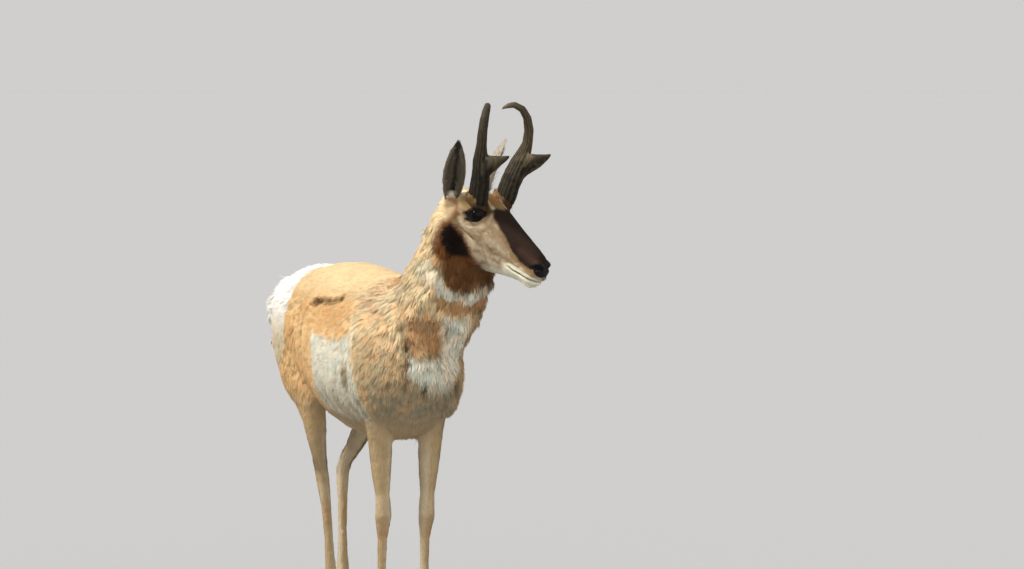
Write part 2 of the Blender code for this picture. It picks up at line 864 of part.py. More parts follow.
def finish_nodes(where):
    """Gives every node its plain material and soft shading that stays crisp at its sharp edges."""
    for obj in where.objects:
        kind = obj.name.split("_")[0]
        colour, roughness = LOOKS.get(kind, (TAN, 0.9))
        obj.data.materials.clear()
        obj.data.materials.append(plain_material(obj.name + "_material", colour, roughness))
        obj.data.shade_smooth()
        obj.data.set_sharp_from_angle(angle=SHARP_FROM)


def stand_on_origin(where):
    """Puts the middle of the whole box over the origin, with the soles at z = 0."""
    corners = [v.co for obj in where.objects for v in obj.data.vertices]
    middle_x = (min(c.x for c in corners) + max(c.x for c in corners)) / 2
    middle_y = (min(c.y for c in corners) + max(c.y for c in corners)) / 2
    lowest = min(c.z for c in corners)
    for obj in where.objects:
        obj.data.transform(Matrix.Translation((-middle_x, -middle_y, -lowest)))


def main():
    clear_scene()
    animal = collection("pronghorn")
    forms = collection("forms", hidden=True)
    cutters = collection("cutters", hidden=True)
    nodes = build_body(animal, forms, cutters)
    head = build_head(animal, forms, cutters)
    seats = []
    openings = []
    for side in SIDES:
        seats.append(grown(build_horn(side, animal), GAP, cutters))
        seats.append(grown(build_ear(side, animal), EAR_SEAT_GAP, cutters))
        seats.append(grown(build_eye(side, animal), GAP, cutters))
        openings += [eye_opening(side, cutters), nostril(side, cutters), mouth(side, cutters)]
    cut(head, openings, "MANIFOLD")
    cut(head, seats, "MANIFOLD")
    tail = build_tail(animal)
    rng = random.Random(LOCK_SEED)
    centre, direction, radius = CUTS[0]
    trims = [beyond(centre, direction, radius, cutters), grown(tail, 2 * GAP, cutters)]
    grow_locks(nodes["torso"], rump_locks(nodes["torso"], rng, cutters), trims)
    trims = [beyond(*HEAD_CUT, cutters), beyond(centre, -direction, radius, cutters)]
    grow_locks(nodes["neck"], neck_locks(nodes["neck"], rng, cutters), trims)
    for name, foot in FEET.items():
        for toe, outward in (("inner", -1), ("outer", 1)):
            way = outward * (1 if foot.y > 0 else -1)
            build_toe("hoof_" + name + "_" + toe, foot, way, animal)
    finish_nodes(animal)
    stand_on_origin(animal)


main()
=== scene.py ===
# %% [markdown]
# # The looks of a pronghorn buck
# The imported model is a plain, faceted buck that stands with its head turned to its left. This
# script gives it its skin, coat, eyes, ears, horns and hooves. Every piece is built in the
# model's own frame, in metres: +X is the way the animal faces, +Y its left side and +Z up.

# %% Load the frame
import math

import bmesh
import bpy
import numpy as np
import openvdb
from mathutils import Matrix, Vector
from mathutils.bvhtree import BVHTree
from mathutils.kdtree import KDTree


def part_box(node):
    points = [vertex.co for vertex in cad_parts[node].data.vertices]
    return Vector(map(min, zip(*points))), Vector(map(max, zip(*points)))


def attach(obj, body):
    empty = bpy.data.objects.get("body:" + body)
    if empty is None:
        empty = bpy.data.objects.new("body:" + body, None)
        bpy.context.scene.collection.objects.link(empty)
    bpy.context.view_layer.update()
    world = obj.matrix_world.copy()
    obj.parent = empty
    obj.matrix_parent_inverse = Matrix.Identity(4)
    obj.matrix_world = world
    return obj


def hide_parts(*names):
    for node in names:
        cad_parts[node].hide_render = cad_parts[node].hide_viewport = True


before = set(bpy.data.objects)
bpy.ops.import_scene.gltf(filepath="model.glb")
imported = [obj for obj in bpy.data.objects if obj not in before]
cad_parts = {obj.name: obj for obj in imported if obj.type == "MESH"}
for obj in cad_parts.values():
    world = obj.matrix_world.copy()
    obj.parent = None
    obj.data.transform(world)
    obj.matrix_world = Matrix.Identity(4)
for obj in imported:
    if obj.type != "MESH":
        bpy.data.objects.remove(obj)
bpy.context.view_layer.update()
print("nodes in the frame:", len(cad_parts))

# %% [markdown]
# ## Two rulers
# Markings and folds are easiest to place in millimetres from a landmark. The body ruler starts
# on the floor under the middle of the trunk. The head ruler starts at the poll, with x towards
# the nose, y to the left and z up from the bridge. Both are found from where the eyes sit.

# %% The head's and the body's rulers
HEAD_TURN = math.radians(30)
HEAD_DROP = math.radians(36)
EYE_IN_HEAD = np.array((86.0, 41.0, 3.0))
POLL_IN_BODY = np.array((436.0, 101.0, 1099.0))
SIDES = {"right": -1, "left": 1}


def turning(axis, angle):
    """A 3 x 3 turn about one of the axes, for column vectors."""
    c, s = math.cos(angle), math.sin(angle)
    if axis == "Z":
        return np.array(((c, -s, 0), (s, c, 0), (0, 0, 1)))
    return np.array(((c, 0, s), (0, 1, 0), (-s, 0, c)))


head_axes = turning("Z", HEAD_TURN) @ turning("Y", HEAD_DROP)
eye_centre = {}
for side in SIDES:
    low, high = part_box("eye_" + side)
    eye_centre[side] = (np.array(low) + np.array(high)) / 2
eye_radius = (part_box("eye_right")[1].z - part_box("eye_right")[0].z) / 2
between_eyes = (eye_centre["right"] + eye_centre["left"]) / 2
poll = between_eyes - head_axes @ (EYE_IN_HEAD * (0.001, 0, 0.001))
body_start = poll - POLL_IN_BODY * 0.001


def to_head(points):
    return (points - poll) @ head_axes * 1000


def to_body(points):
    return (points - body_start) * 1000


def mirrored(place):
    """Both sides as one, so that what is placed on the left is on the right too."""
    return place * (1, 0, 1) + np.abs(place) * (0, 1, 0)


def from_head(*place):
    return poll + head_axes @ (np.array(place, float) * 0.001)


def from_body(*place):
    return body_start + np.array(place, float) * 0.001


print("eye radius in mm:", round(eye_radius * 1000, 1))

# %% [markdown]
# ## Small tools for arrays
# Thousands of points are shaded and moved at once with numpy. A ramp is a soft step, a blend
# mixes two values, and the noise is smooth and the same in every run.

# %% Ramps, blends, noise and soft outlines
def ramp(value, low, high):
    share = np.clip((value - low) / (high - low), 0, 1)
    return share * share * (3 - 2 * share)


def bump_at(value, centre, reach):
    """1 at the centre and 0 beyond the reach, with soft shoulders."""
    return 1 - ramp(np.abs(value - centre), 0, reach)


def blend(a, b, share):
    share = np.asarray(share)[:, None]
    return a * (1 - share) + np.asarray(b) * share


def unit(vectors):
    return vectors / np.maximum(np.linalg.norm(vectors, axis=1, keepdims=True), 1e-12)


def noise(points, size, seed=0):
    """Smooth noise from -1 to 1, with lumps of about this size in metres."""
    place = points / size + 17.3 * seed
    cell = np.floor(place).astype(np.int64)
    part = place - cell
    part = part * part * (3 - 2 * part)
    total = np.zeros(len(points))
    for corner in np.ndindex(2, 2, 2):
        at = cell + np.array(corner)
        key = (at[:, 0] * 73856093) ^ (at[:, 1] * 19349663) ^ (at[:, 2] * 83492791)
        key = (key ^ (key >> 13)) * 1274126177 % (1 << 31)
        value = ((key ^ (key >> 15)) & 0xFFFF) / 32767.5 - 1
        share = np.where(np.array(corner) == 1, part, 1 - part)
        total += value * share.prod(axis=1)
    return total


def inside(outline, across, up, soft):
    """A mask that is 1 inside a closed outline and falls to 0 over a soft edge, in mm."""
    corners = np.array(outline, float)
    near = np.full(len(across), 1e9)
    crossings = np.zeros(len(across), int)
    for (x0, z0), (x1, z1) in zip(corners, np.roll(corners, -1, axis=0)):
        way = np.array((x1 - x0, z1 - z0))
        along = ((across - x0) * way[0] + (up - z0) * way[1]) / (way @ way)
        along = np.clip(along, 0, 1)
        away = np.hypot(across - x0 - along * way[0], up - z0 - along * way[1])
        near = np.minimum(near, away)
        spans = (z0 > up) != (z1 > up)
        rise = way[1] if way[1] else 1e-9
        crossings += spans & (across < (up - z0) * way[0] / rise + x0)
    signed = np.where(crossings % 2 == 1, near, -near)
    return ramp(signed, -soft, soft)


# %% [markdown]
# ## Meshes in and out of arrays
# These helpers read a mesh as arrays and build one from arrays, which is quick even with a
# million faces. Operators act on whatever is selected, so one helper picks a single object.

# %% Meshes and selections
def coordinates(mesh, what="co"):
    values = np.empty(len(mesh.vertices) * 3, np.float32)
    mesh.vertices.foreach_get(what, values)
    return values.reshape(-1, 3).astype(float)


def move_points(mesh, points):
    mesh.vertices.foreach_set("co", points.astype(np.float32).ravel())
    mesh.update()


def triangles(mesh):
    mesh.calc_loop_triangles()
    corners = np.empty(len(mesh.loop_triangles) * 3, np.int32)
    mesh.loop_triangles.foreach_get("vertices", corners)
    return corners.reshape(-1, 3)


def mesh_of(name, points, faces):
    """A new object from an array of points and an array of faces with as many corners each."""
    mesh = bpy.data.meshes.new(name)
    count, sides = faces.shape
    mesh.vertices.add(len(points))
    mesh.vertices.foreach_set("co", points.astype(np.float32).ravel())
    mesh.loops.add(count * sides)
    mesh.loops.foreach_set("vertex_index", faces.astype(np.int32).ravel())
    mesh.polygons.add(count)
    mesh.polygons.foreach_set("loop_start", np.arange(0, count * sides, sides, dtype=np.int32))
    mesh.update(calc_edges=True)
    mesh.shade_smooth()
    obj = bpy.data.objects.new(name, mesh)
    bpy.context.scene.collection.objects.link(obj)
    return obj


def pick(obj):
    bpy.ops.object.select_all(action="DESELECT")
    bpy.context.view_layer.objects.active = obj
    obj.select_set(True)


def apply_modifier(obj, kind, **settings):
    pick(obj)
    modifier = obj.modifiers.new(kind.lower(), kind)
    for name, value in settings.items():
        setattr(modifier, name, value)
    bpy.ops.object.modifier_apply(modifier=modifier.name)


def subdivide_where(obj, mask):
    """Splits the faces whose corners are all in the mask, and rounds the new points."""
    pick(obj)
    bpy.ops.object.mode_set(mode="EDIT")
    bpy.ops.mesh.select_mode(type="VERT")
    bpy.ops.mesh.select_all(action="DESELECT")
    bpy.ops.object.mode_set(mode="OBJECT")
    obj.data.vertices.foreach_set("select", mask)
    bpy.ops.object.mode_set(mode="EDIT")
    bpy.ops.mesh.select_mode(type="FACE")
    bpy.ops.mesh.subdivide(number_cuts=1)
    bpy.ops.mesh.vertices_smooth(factor=0.5, repeat=3)
    bpy.ops.object.mode_set(mode="OBJECT")


def largest_shell(points, faces):
    """Only the points and faces of the biggest connected part."""
    label = np.arange(len(points))
    ends = np.concatenate([faces[:, [i, (i + 1) % faces.shape[1]]] for i in range(faces.shape[1])])
    while True:
        lowest = label.copy()
        np.minimum.at(lowest, ends[:, 0], label[ends[:, 1]])
        np.minimum.at(lowest, ends[:, 1], label[ends[:, 0]])
        lowest = lowest[lowest]
        if (lowest == label).all():
            break
        label = lowest
    keep = label == np.bincount(label).argmax()
    new_index = np.cumsum(keep) - 1
    return points[keep], new_index[faces[keep[faces[:, 0]]]]


# %% [markdown]
# ## Camera, floor and light
# The camera looks from the front and a little from the animal's right, with a long lens, as in
# the photograph. Its place is worked out from the picture's scale, in pixels for each metre at
# the right forefoot, so that the render lines up with the photograph.

# %% The camera
CAMERA_AZIMUTH = math.radians(70.85)
CAMERA_RISE = math.radians(3)
CAMERA_DISTANCE = 16
PIXELS_PER_METRE = 400
PICTURE_WIDTH = 1024
PICTURE_MIDDLE = (512, 284.5)
FOREFOOT_PIXEL = (383, 632)
SENSOR_WIDTH = 36

forefoot = Vector(from_body(240, -56, 0))
back_way = Vector((
    math.sin(CAMERA_AZIMUTH) * math.cos(CAMERA_RISE),
    -math.cos(CAMERA_AZIMUTH) * math.cos(CAMERA_RISE),
    math.sin(CAMERA_RISE),
))
right_way = Vector((math.cos(CAMERA_AZIMUTH), math.sin(CAMERA_AZIMUTH), 0))
up_way = back_way.cross(right_way)
to_the_right = (FOREFOOT_PIXEL[0] - PICTURE_MIDDLE[0]) / PIXELS_PER_METRE
downwards = (FOREFOOT_PIXEL[1] - PICTURE_MIDDLE[1]) / PIXELS_PER_METRE
aim = forefoot - right_way * to_the_right + up_way * downwards
camera = bpy.data.objects.new("camera", bpy.data.cameras.new("camera"))
camera.data.sensor_width = SENSOR_WIDTH
camera.data.lens = PIXELS_PER_METRE * CAMERA_DISTANCE * SENSOR_WIDTH / PICTURE_WIDTH
camera.location = aim + back_way * CAMERA_DISTANCE
camera.rotation_euler = back_way.to_track_quat("Z", "Y").to_euler()
bpy.context.scene.collection.objects.link(camera)
bpy.context.scene.camera = camera
print("lens in mm:", round(camera.data.lens, 1))

# %% [markdown]
# The floor is one large pale disc. The main light stands high on the animal's right and a
# little behind it, where the sun was, as a wide and therefore soft sun lamp. A weaker one in
# front of the animal and the pale surroundings fill the shadows.

# %% Floor and lamps
FLOOR_RADIUS = 60
FLOOR_COLOUR = (0.3265, 0.3320, 0.3425, 1)

bpy.ops.object.select_all(action="DESELECT")
bpy.ops.mesh.primitive_circle_add(vertices=96, radius=FLOOR_RADIUS, fill_type="NGON")
floor = bpy.context.active_object
floor.name = "floor"
floor_paint = bpy.data.materials.new("pale_floor")
floor_paint.use_nodes = True
floor_shader = floor_paint.node_tree.nodes["Principled BSDF"]
floor_shader.inputs["Base Color"].default_value = FLOOR_COLOUR
floor_shader.inputs["Roughness"].default_value = 0.9
floor_shader.inputs["Specular IOR Level"].default_value = 0.1
floor.data.materials.append(floor_paint)


def lamp(name, way, spread, strength, colour):
    """A sun lamp that shines from this direction, softened by its spread in degrees."""
    light = bpy.data.lights.new(name, "SUN")
    light.angle = math.radians(spread)
    light.energy = strength
    light.color = colour
    obj = bpy.data.objects.new(name, light)
    obj.rotation_euler = way.normalized().to_track_quat("Z", "Y").to_euler()
    bpy.context.scene.collection.objects.link(obj)


lamp("key_lamp", up_way * 1.0 - right_way * 0.8 + back_way * 0.12, 12, 4.6, (1, 0.965, 0.90))
lamp("fill_lamp", back_way * 1.0 + right_way * 0.25 + up_way * 0.45, 60, 0.90, (1, 0.98, 0.95))
world = bpy.data.worlds.new("soft_world")
world.use_nodes = True
world.node_tree.nodes["Background"].inputs["Color"].default_value = (0.95, 0.94, 0.92, 1)
world.node_tree.nodes["Background"].inputs["Strength"].default_value = 0.66
bpy.context.scene.world = world
bpy.context.scene.view_settings.view_transform = "Standard"

# %% [markdown]
# ## The skin
# The plain model is parted at the neck, the head and the legs. A live animal's skin has no such
# seams, so copies of all the flesh are turned into one distance field, and a single skin is
# drawn a few millimetres inside it, where the thin built locks no longer show. The coat then
# fills the space between. The eyes and horns leave sockets, which plugs close.

# %% One skin from the flesh nodes
FLESH = ("torso", "neck", "head", "tail", "ear", "foreleg", "hindleg")
SKIN_VOXEL = 0.0060
CORE = 0.0034
HORN_SEAT = (67, 51, 30)
HORN_PLUG = (0.037, 0.029, 0.018)

flesh_nodes = [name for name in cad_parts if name.split("_")[0] in FLESH]
eye_nodes = ["eye_" + side for side in SIDES]


def plug(side):
    """A closed egg that fills the socket of a horn."""
    bpy.ops.object.select_all(action="DESELECT")
    bpy.ops.mesh.primitive_ico_sphere_add(subdivisions=3, radius=1)
    egg = bpy.context.active_object
    x, y, z = HORN_SEAT
    points = coordinates(egg.data) * HORN_PLUG @ head_axes.T + from_head(x, SIDES[side] * y, z)
    faces = triangles(egg.data)
    bpy.data.objects.remove(egg)
    return points, faces


solids = [plug(side) for side in SIDES]
for name in flesh_nodes + eye_nodes:
    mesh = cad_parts[name].data
    solids.append((coordinates(mesh), triangles(mesh)))
starts = np.cumsum([0] + [len(points) for points, _ in solids])
all_points = np.concatenate([points for points, _ in solids]).astype(np.float32)
all_faces = np.concatenate([faces + start for (_, faces), start in zip(solids, starts)])
grid = openvdb.FloatGrid.createLevelSetFromPolygons(
    all_points,
    triangles=all_faces.astype(np.uint32),
    transform=openvdb.createLinearTransform(SKIN_VOXEL),
    halfWidth=3,
)
skin_points, skin_faces = grid.convertToQuads(isovalue=-CORE)
skin_points, skin_faces = largest_shell(skin_points.astype(float), skin_faces.astype(np.int64))
skin = mesh_of("skin", skin_points, skin_faces[:, ::-1])
apply_modifier(skin, "SMOOTH", factor=0.5, iterations=5)
print("skin faces from the field:", len(skin.data.polygons))

# %% [markdown]
# The head needs smaller faces than the trunk, and the eyes, nose and lips smaller ones still,
# so those parts are subdivided before any fold is shaped.

# %% Finer faces on the head
def on_head(points):
    """How far a point lies on the head's side of the line behind the jaw, in mm."""
    place = to_head(points) - (58, 0, -74)
    return place @ np.array((0.497, 0, 0.868))


points = coordinates(skin.data)
place = to_head(points)
subdivide_where(skin, (on_head(points) > -12) & (np.abs(place[:, 1]) < 78) & (place[:, 0] > -46))
points = coordinates(skin.data)
place = to_head(points)
near_eye = np.minimum(*[np.linalg.norm(points - eye_centre[side], axis=1) for side in SIDES])
fine = (near_eye < 0.040) | (place[:, 0] > 222)
subdivide_where(skin, fine & (on_head(points) > 0))
print("skin faces after the head:", len(skin.data.polygons))

# %% [markdown]
# Smoothing makes thin parts thinner, and the legs and the muzzle would lose a good part of their
# width. So their points are moved back to their full depth under the nearest place of the
# plain model, by amounts that are averaged over neighbours, so that its facets don't show.

# %% Legs and head as thick as they were
def averaged(mesh, values, times):
    """The values of a mesh's points, each mixed again and again with its neighbours'."""
    edges = np.empty(len(mesh.edges) * 2, np.int32)
    mesh.edges.foreach_get("vertices", edges)
    a, b = edges.reshape(-1, 2).T
    count = np.bincount(a, minlength=len(values)) + np.bincount(b, minlength=len(values))
    for _ in range(times):
        around = np.bincount(a, values[b], len(values)) + np.bincount(b, values[a], len(values))
        values = (values + around / count) / 2
    return values


def keep_thickness(mesh, chosen, wanted):
    """Moves the chosen points along their normals to this depth in mm under the plain model."""
    model = BVHTree.FromPolygons(all_points.tolist(), all_faces.tolist())
    points, normals = coordinates(mesh), coordinates(mesh, "normal")
    depth = np.full(len(points), np.nan)
    for index in np.flatnonzero(chosen):
        near, facing, _, _ = model.find_nearest(Vector(points[index]))
        if facing.dot(Vector(normals[index])) > 0.6:
            depth[index] = (near - Vector(points[index])).dot(facing) * 1000
    usual = np.nanmedian(depth)
    print("usual depth of legs and head in mm:", round(float(usual), 2))
    push = np.where(chosen, np.where(np.isnan(depth), usual, np.clip(depth, 0, 14)) - wanted, 0)
    push = averaged(mesh, push, 6)
    move_points(mesh, points + normals * (push * 0.001)[:, None])


points = coordinates(skin.data)
level = to_body(points)[:, 2]
place = mirrored(to_head(points))
thin = ((level < 500) & (level > 30)) | ((on_head(points) > -5) & (place[:, 1] < 78))
keep_thickness(skin.data, thin, CORE * 1000)
keep_thickness(skin.data, thin, CORE * 1000)

# %% [markdown]
# ## Shaping the skin
# The thickness of coat to leave differs over the body: little on the face and the legs, more on
# the trunk. Then folds are pressed in and muscles raised, as a sculptor would, each as a soft
# bump or groove placed with the two rulers.

# %% Thickness of coat that the skin leaves
def coat_depth(points):
    """Millimetres between the plain model's surface and the skin."""
    body = to_body(points)
    depth = np.full(len(points), 3.6)
    depth -= 2.2 * (1 - ramp(body[:, 2], 380, 520))
    return depth + (1.0 - depth) * ramp(on_head(points), -10, 25)


def groove(place, path, half_width):
    """How near each point is to a path, from 0 to 1, in the ruler's millimetres."""
    near = np.full(len(place), 1e9)
    path = np.array(path, float)
    for start, end in zip(path, path[1:]):
        way = end - start
        along = np.clip((place - start) @ way / (way @ way), 0, 1)[:, None]
        near = np.minimum(near, np.linalg.norm(place - start - along * way, axis=1))
    return 1 - ramp(near, 0, half_width)


def stroke(side, path, half_width):
    """The same for a path of x and z on the side of the head, whatever its width there."""
    near = groove(side * (1, 0, 1), [(x, 0, z) for x, z in path], half_width)
    return near * ramp(side[:, 1], 6, 14)


# %% Folds, bones and muscles of the head
MOUTH = [(326, -25), (314, -29), (300, -33), (282, -38), (262, -42), (240, -47), (228, -47)]
HEAD_FORMS = (
    ([(118, -16), (150, -22), (196, -24)], 14, 1.6),
    ([(46, -22), (52, -36), (70, -46), (94, -49), (116, -50)], 4.5, -2.8),
    ([(56, -28), (72, -36), (94, -32), (112, -14)], 6, 1.7),
    ([(116, 12), (126, -2), (134, -12)], 8, -2.4),
    ([(150, 4), (200, -4), (240, -8)], 9, -1.1),
    ([(50, -80), (84, -98), (120, -96)], 26, 2.0),
    ([(140, -50), (190, -44), (222, -42)], 14, -1.8),
    ([(128, -88), (165, -78), (205, -66)], 9, 1.4),
    ([(246, -28), (276, -25), (298, -20)], 9, 1.3),
    ([(44, 16), (62, 30), (84, 36)], 9, 1.8),
)


def shape_head(points, normals):
    side = mirrored(to_head(points))
    head = ramp(on_head(points), -20, 10)
    push = np.zeros(len(points))
    for path, reach, height in HEAD_FORMS:
        push += height * stroke(side, path, reach)
    lips = groove(side * (1, 0, 1), [(x, 0, z) for x, z in MOUTH], 4.2)
    push -= 4.2 * lips**1.5
    push += 1.3 * groove(side * (1, 0, 1), [(x, 0, z + 6) for x, z in MOUTH], 6)
    push += 1.0 * groove(side * (1, 0, 1), [(x, 0, z - 7) for x, z in MOUTH[1:]], 6)
    push -= 1.1 * groove(side, [(316, 0, -24), (322, 0, -14), (323, 0, -8)], 3)
    return points + normals * (push * head * 0.001)[:, None]


def open_nostrils(points):
    """Presses a comma-shaped opening into each side of the nose, with a raised rim."""
    side = mirrored(to_head(points))
    comma = [(307, 7), (303, 9), (297, 7), (292, 0), (290, -6)]
    hole = stroke(side, comma, 5.2) ** 0.7
    rim = stroke(side, comma, 10) * (1 - stroke(side, comma, 6.5))
    sign = np.sign(to_head(points)[:, 1])[:, None]
    inward = head_axes @ np.array((-0.35, 0, -0.05)) - sign * (head_axes @ np.array((0, 0.9, 0)))
    return points + inward * (hole * 0.0062 - rim * 0.0008)[:, None]


# %% [markdown]
# ## Seats for the eyes
# An eyeball is a ball, and lids wrap it closely. Around each eye every skin point is moved
# along the line from the eye's centre: behind the ball inside the almond of the opening, and
# just outside it where the lids lie. The crisp edges of the lids come later as a piece of
# their own.

# %% The almond of the eye
ALMOND_TILT = math.radians(-34)
ALMOND_HALF_WIDTH = math.radians(60)
ALMOND_UP = math.radians(43)
ALMOND_DOWN = math.radians(38)
LID_THICKNESS = 2.6


def eye_axes(side):
    """Outwards, towards the nose and upwards, for one eye."""
    sign = SIDES[side]
    outward = head_axes @ np.array((0.16, sign, 0.06))
    outward /= np.linalg.norm(outward)
    forward = head_axes @ turning("Y", ALMOND_TILT) @ np.array((1.0, 0, 0))
    forward -= outward * (forward @ outward)
    forward /= np.linalg.norm(forward)
    upward = np.cross(outward, forward) * sign * -1
    return outward, forward, upward


def almond_place(points, side):
    """Distance from the eye's centre in mm, and how far out of the almond: 1 is its edge."""
    outward, forward, upward = eye_axes(side)
    away = (points - eye_centre[side]) * 1000
    depth, ahead, above = away @ outward, away @ forward, away @ upward
    turn = np.arctan2(ahead, depth)
    rise = np.arctan2(above, np.hypot(depth, ahead))
    height = np.where(rise > 0, ALMOND_UP, ALMOND_DOWN)
    out = np.sqrt(np.abs(turn / ALMOND_HALF_WIDTH) ** 1.7 + (rise / height) ** 2)
    return np.linalg.norm(away, axis=1), out, rise, depth


def seat_eyes(points):
    for side in SIDES:
        distance, out, rise, depth = almond_place(points, side)
        ball = eye_radius * 1000
        lid = ball + LID_THICKNESS + 1.6 * ramp(out, 1.0, 1.5) - 1.8 * bump_at(out, 1.62, 0.22) * (rise > 0)
        target = np.where(out < 1.0, ball - 5 + 5 * ramp(out, 0.9, 1.02), lid)
        above = ramp(rise, 0, 0.3)
        far = ramp(out, 1.10 - 0.06 * above, 1.55 - 0.25 * above)
        leave = np.where(distance > target, far, ramp(out, 1.35, 2.3))
        share = (1 - leave) * ramp(depth, -2, 8) * (distance < 45)
        wanted = distance + (target - distance) * share
        away = points - eye_centre[side]
        points = eye_centre[side] + away * (wanted / np.maximum(distance, 1))[:, None]
    return points


# %% Muscles and clumps of the body
CREASE = [(-70, 142, 815), (10, 138, 819), (62, 130, 825), (104, 122, 830)]
BODY_FORMS = (
    ([(215, 118, 850), (255, 132, 760), (300, 118, 660)], 26, 3.0),
    ([(238, 150, 700), (246, 148, 640), (256, 134, 590)], 16, 3.2),
    ([(196, 158, 700), (206, 156, 640), (214, 140, 590)], 18, -3.0),
    ([(-214, 150, 760), (-222, 150, 690), (-190, 146, 610)], 26, -3.5),
    ([(-265, 150, 800), (-290, 150, 720), (-270, 140, 640)], 34, 2.6),
    ([(-330, 40, 898), (-380, 60, 880)], 26, 2.5),
    ([(232, 30, 470), (240, 30, 430)], 14, -2.0),
)
LEG_FORMS = (
    ([(222, 38, 260), (220, 38, 130)], 5, -1.6),
    ([(222, 76, 260), (220, 76, 130)], 5, -1.6),
)


def shape_body(points, normals):
    body = to_body(points)
    both = mirrored(body)
    trunk = ramp(body[:, 2], 470, 560) * (1 - ramp(on_head(points), -60, -10))
    push = np.zeros(len(points))
    for path, reach, height in BODY_FORMS:
        push += height * groove(both, path, reach)
    right = body[:, 1] < 0
    push -= 10.0 * groove(body * (1, -1, 1), CREASE, 13) * right
    push += 2.4 * groove(body * (1, -1, 1) - (0, 0, 14), CREASE, 16) * right
    uneven = noise(points, 0.045, 3) * 1.9 + noise(points, 0.020, 4) * 0.8
    return points + normals * ((push + uneven) * trunk * 0.001)[:, None]


# %% Put the shapes on the skin
points = coordinates(skin.data)
normals = coordinates(skin.data, "normal")
points += normals * ((CORE * 1000 - coat_depth(points)) * 0.001)[:, None]
points = shape_body(points, normals)
move_points(skin.data, points)
points = shape_head(points, coordinates(skin.data, "normal"))
points = open_nostrils(points)
points = seat_eyes(points)
move_points(skin.data, points)
print("skin triangles:", len(triangles(skin.data)))

# %% [markdown]
# ## Which way the hair lies
# Hair grows back from the nose, down the neck, back and down along the trunk, and down the
# legs, and on the rump it parts to both sides of the tail. A few dozen named guides say so, and every
# point of the skin follows the guides nearest to it.

# %% Guides for the lie of the hair
BODY_LIE = (
    ((200, 20, 895), (-1, 0, -0.1)), ((0, 20, 900), (-1, 0, -0.1)), ((-250, 20, 890), (-1, 0, -0.15)),
    ((0, 140, 800), (-1, 0, -0.3)), ((0, 160, 680), (-0.9, 0, -0.45)), ((0, 60, 530), (-1, 0, -0.1)),
    ((230, 90, 840), (-0.75, 0.2, -0.6)), ((260, 140, 720), (-0.5, 0.1, -0.85)),
    ((250, 130, 600), (-0.35, 0, -1)), ((330, 20, 560), (-0.8, 0, -0.4)), ((420, 98, 760), (-0.1, 0, -1)),
    ((420, 20, 760), (-0.1, -0.25, -1)), ((340, 60, 620), (-0.4, 0, -0.9)),
    ((-300, 100, 830), (-0.8, 0.2, -0.6)), ((-320, 150, 700), (-0.35, 0, -0.95)),
    ((-260, 140, 600), (-0.3, 0, -1)), ((-120, 150, 640), (-0.7, 0, -0.7)),
    ((300, 70, 850), (-0.6, 0.2, -0.8)), ((360, 90, 930), (-0.4, 0, -0.9)), ((410, 100, 1010), (-0.35, 0, -0.95)),
    ((450, 98, 900), (-0.2, 0, -1)), ((240, 56, 420), (0, 0, -1)), ((240, 56, 200), (0, 0, -1)),
    ((-300, 50, 420), (0.1, 0, -1)), ((-300, 50, 200), (0, 0, -1)),
)
HEAD_LIE = (
    ((300, 0, 18), (-1, 0, 0.1)), ((200, 0, 34), (-1, 0, 0.1)), ((120, 0, 45), (-1, 0, 0.1)),
    ((60, 0, 60), (-1, 0, 0.3)), ((10, 0, 55), (-1, 0, 0.2)), ((280, 30, -10), (-1, 0.1, -0.15)),
    ((220, 36, -15), (-1, 0.1, -0.15)), ((160, 44, -20), (-1, 0.1, -0.25)), ((300, 20, -30), (-0.9, 0.3, -0.3)),
    ((240, 25, -55), (-1, 0, -0.3)), ((160, 30, -80), (-0.9, 0, -0.5)), ((110, 55, -55), (-0.9, 0.2, -0.5)),
    ((60, 66, -60), (-0.8, 0.1, -0.6)), ((60, 60, -105), (-0.6, 0, -0.8)), ((100, 0, -120), (-0.8, 0, -0.6)),
    ((86, 50, 34), (-1, 0.1, 0.4)), ((50, 62, 10), (-1, 0.2, 0.1)), ((118, 48, 12), (-0.9, 0.2, 0.5)),
    ((104, 50, 38), (-0.3, 0, 1)), ((67, 80, 32), (-0.4, 0, 1)), ((30, 52, 36), (-0.5, 0, 1)), ((67, 22, 40), (-0.4, 0, 1)),
    ((10, 66, -20), (-1, 0.1, -0.3)), ((0, 60, -60), (-0.7, 0, -0.7)),
)
TAIL_ROOT = (-492, 0, 812)


def lie_of(points, normals):
    """The direction of the hair at each point, lying in the surface."""
    body, head = to_body(points), to_head(points)
    way = np.zeros_like(points)
    body_side = np.sign(body[:, 1])[:, None]
    head_side = np.sign(head[:, 1])[:, None]
    above = ramp(on_head(points), -30, 10)[:, None]
    for place, lie in BODY_LIE:
        near = 1 / (np.linalg.norm(mirrored(body) - place, axis=1, keepdims=True) + 12) ** 3
        way += near * (1 - above) * unit(np.array([lie], float)) * np.hstack([near * 0 + 1, body_side, near * 0 + 1])
    fan = unit((body - TAIL_ROOT) * (0, 1, 0) - (0, 0, 70))
    way = unit(way) + fan * (1.2 * (1 - ramp(body[:, 0], -470, -420)) * ramp(body[:, 2], 600, 700))[:, None]
    facing = np.zeros_like(points)
    for place, lie in HEAD_LIE:
        near = 1 / (np.linalg.norm(mirrored(head) - place, axis=1, keepdims=True) + 6) ** 3
        facing += near * unit(np.array([lie], float)) * np.hstack([near * 0 + 1, head_side, near * 0 + 1])
    way = way * (1 - above) + unit(facing) @ head_axes.T * above
    way -= normals * (way * normals).sum(axis=1, keepdims=True)
    return unit(way)


# %% [markdown]
# ## Where the markings are
# These outlines were measured on the photographed animal. The flank and the shoulder are seen
# from the side, as x and z, and the chest from the front, as y and z.

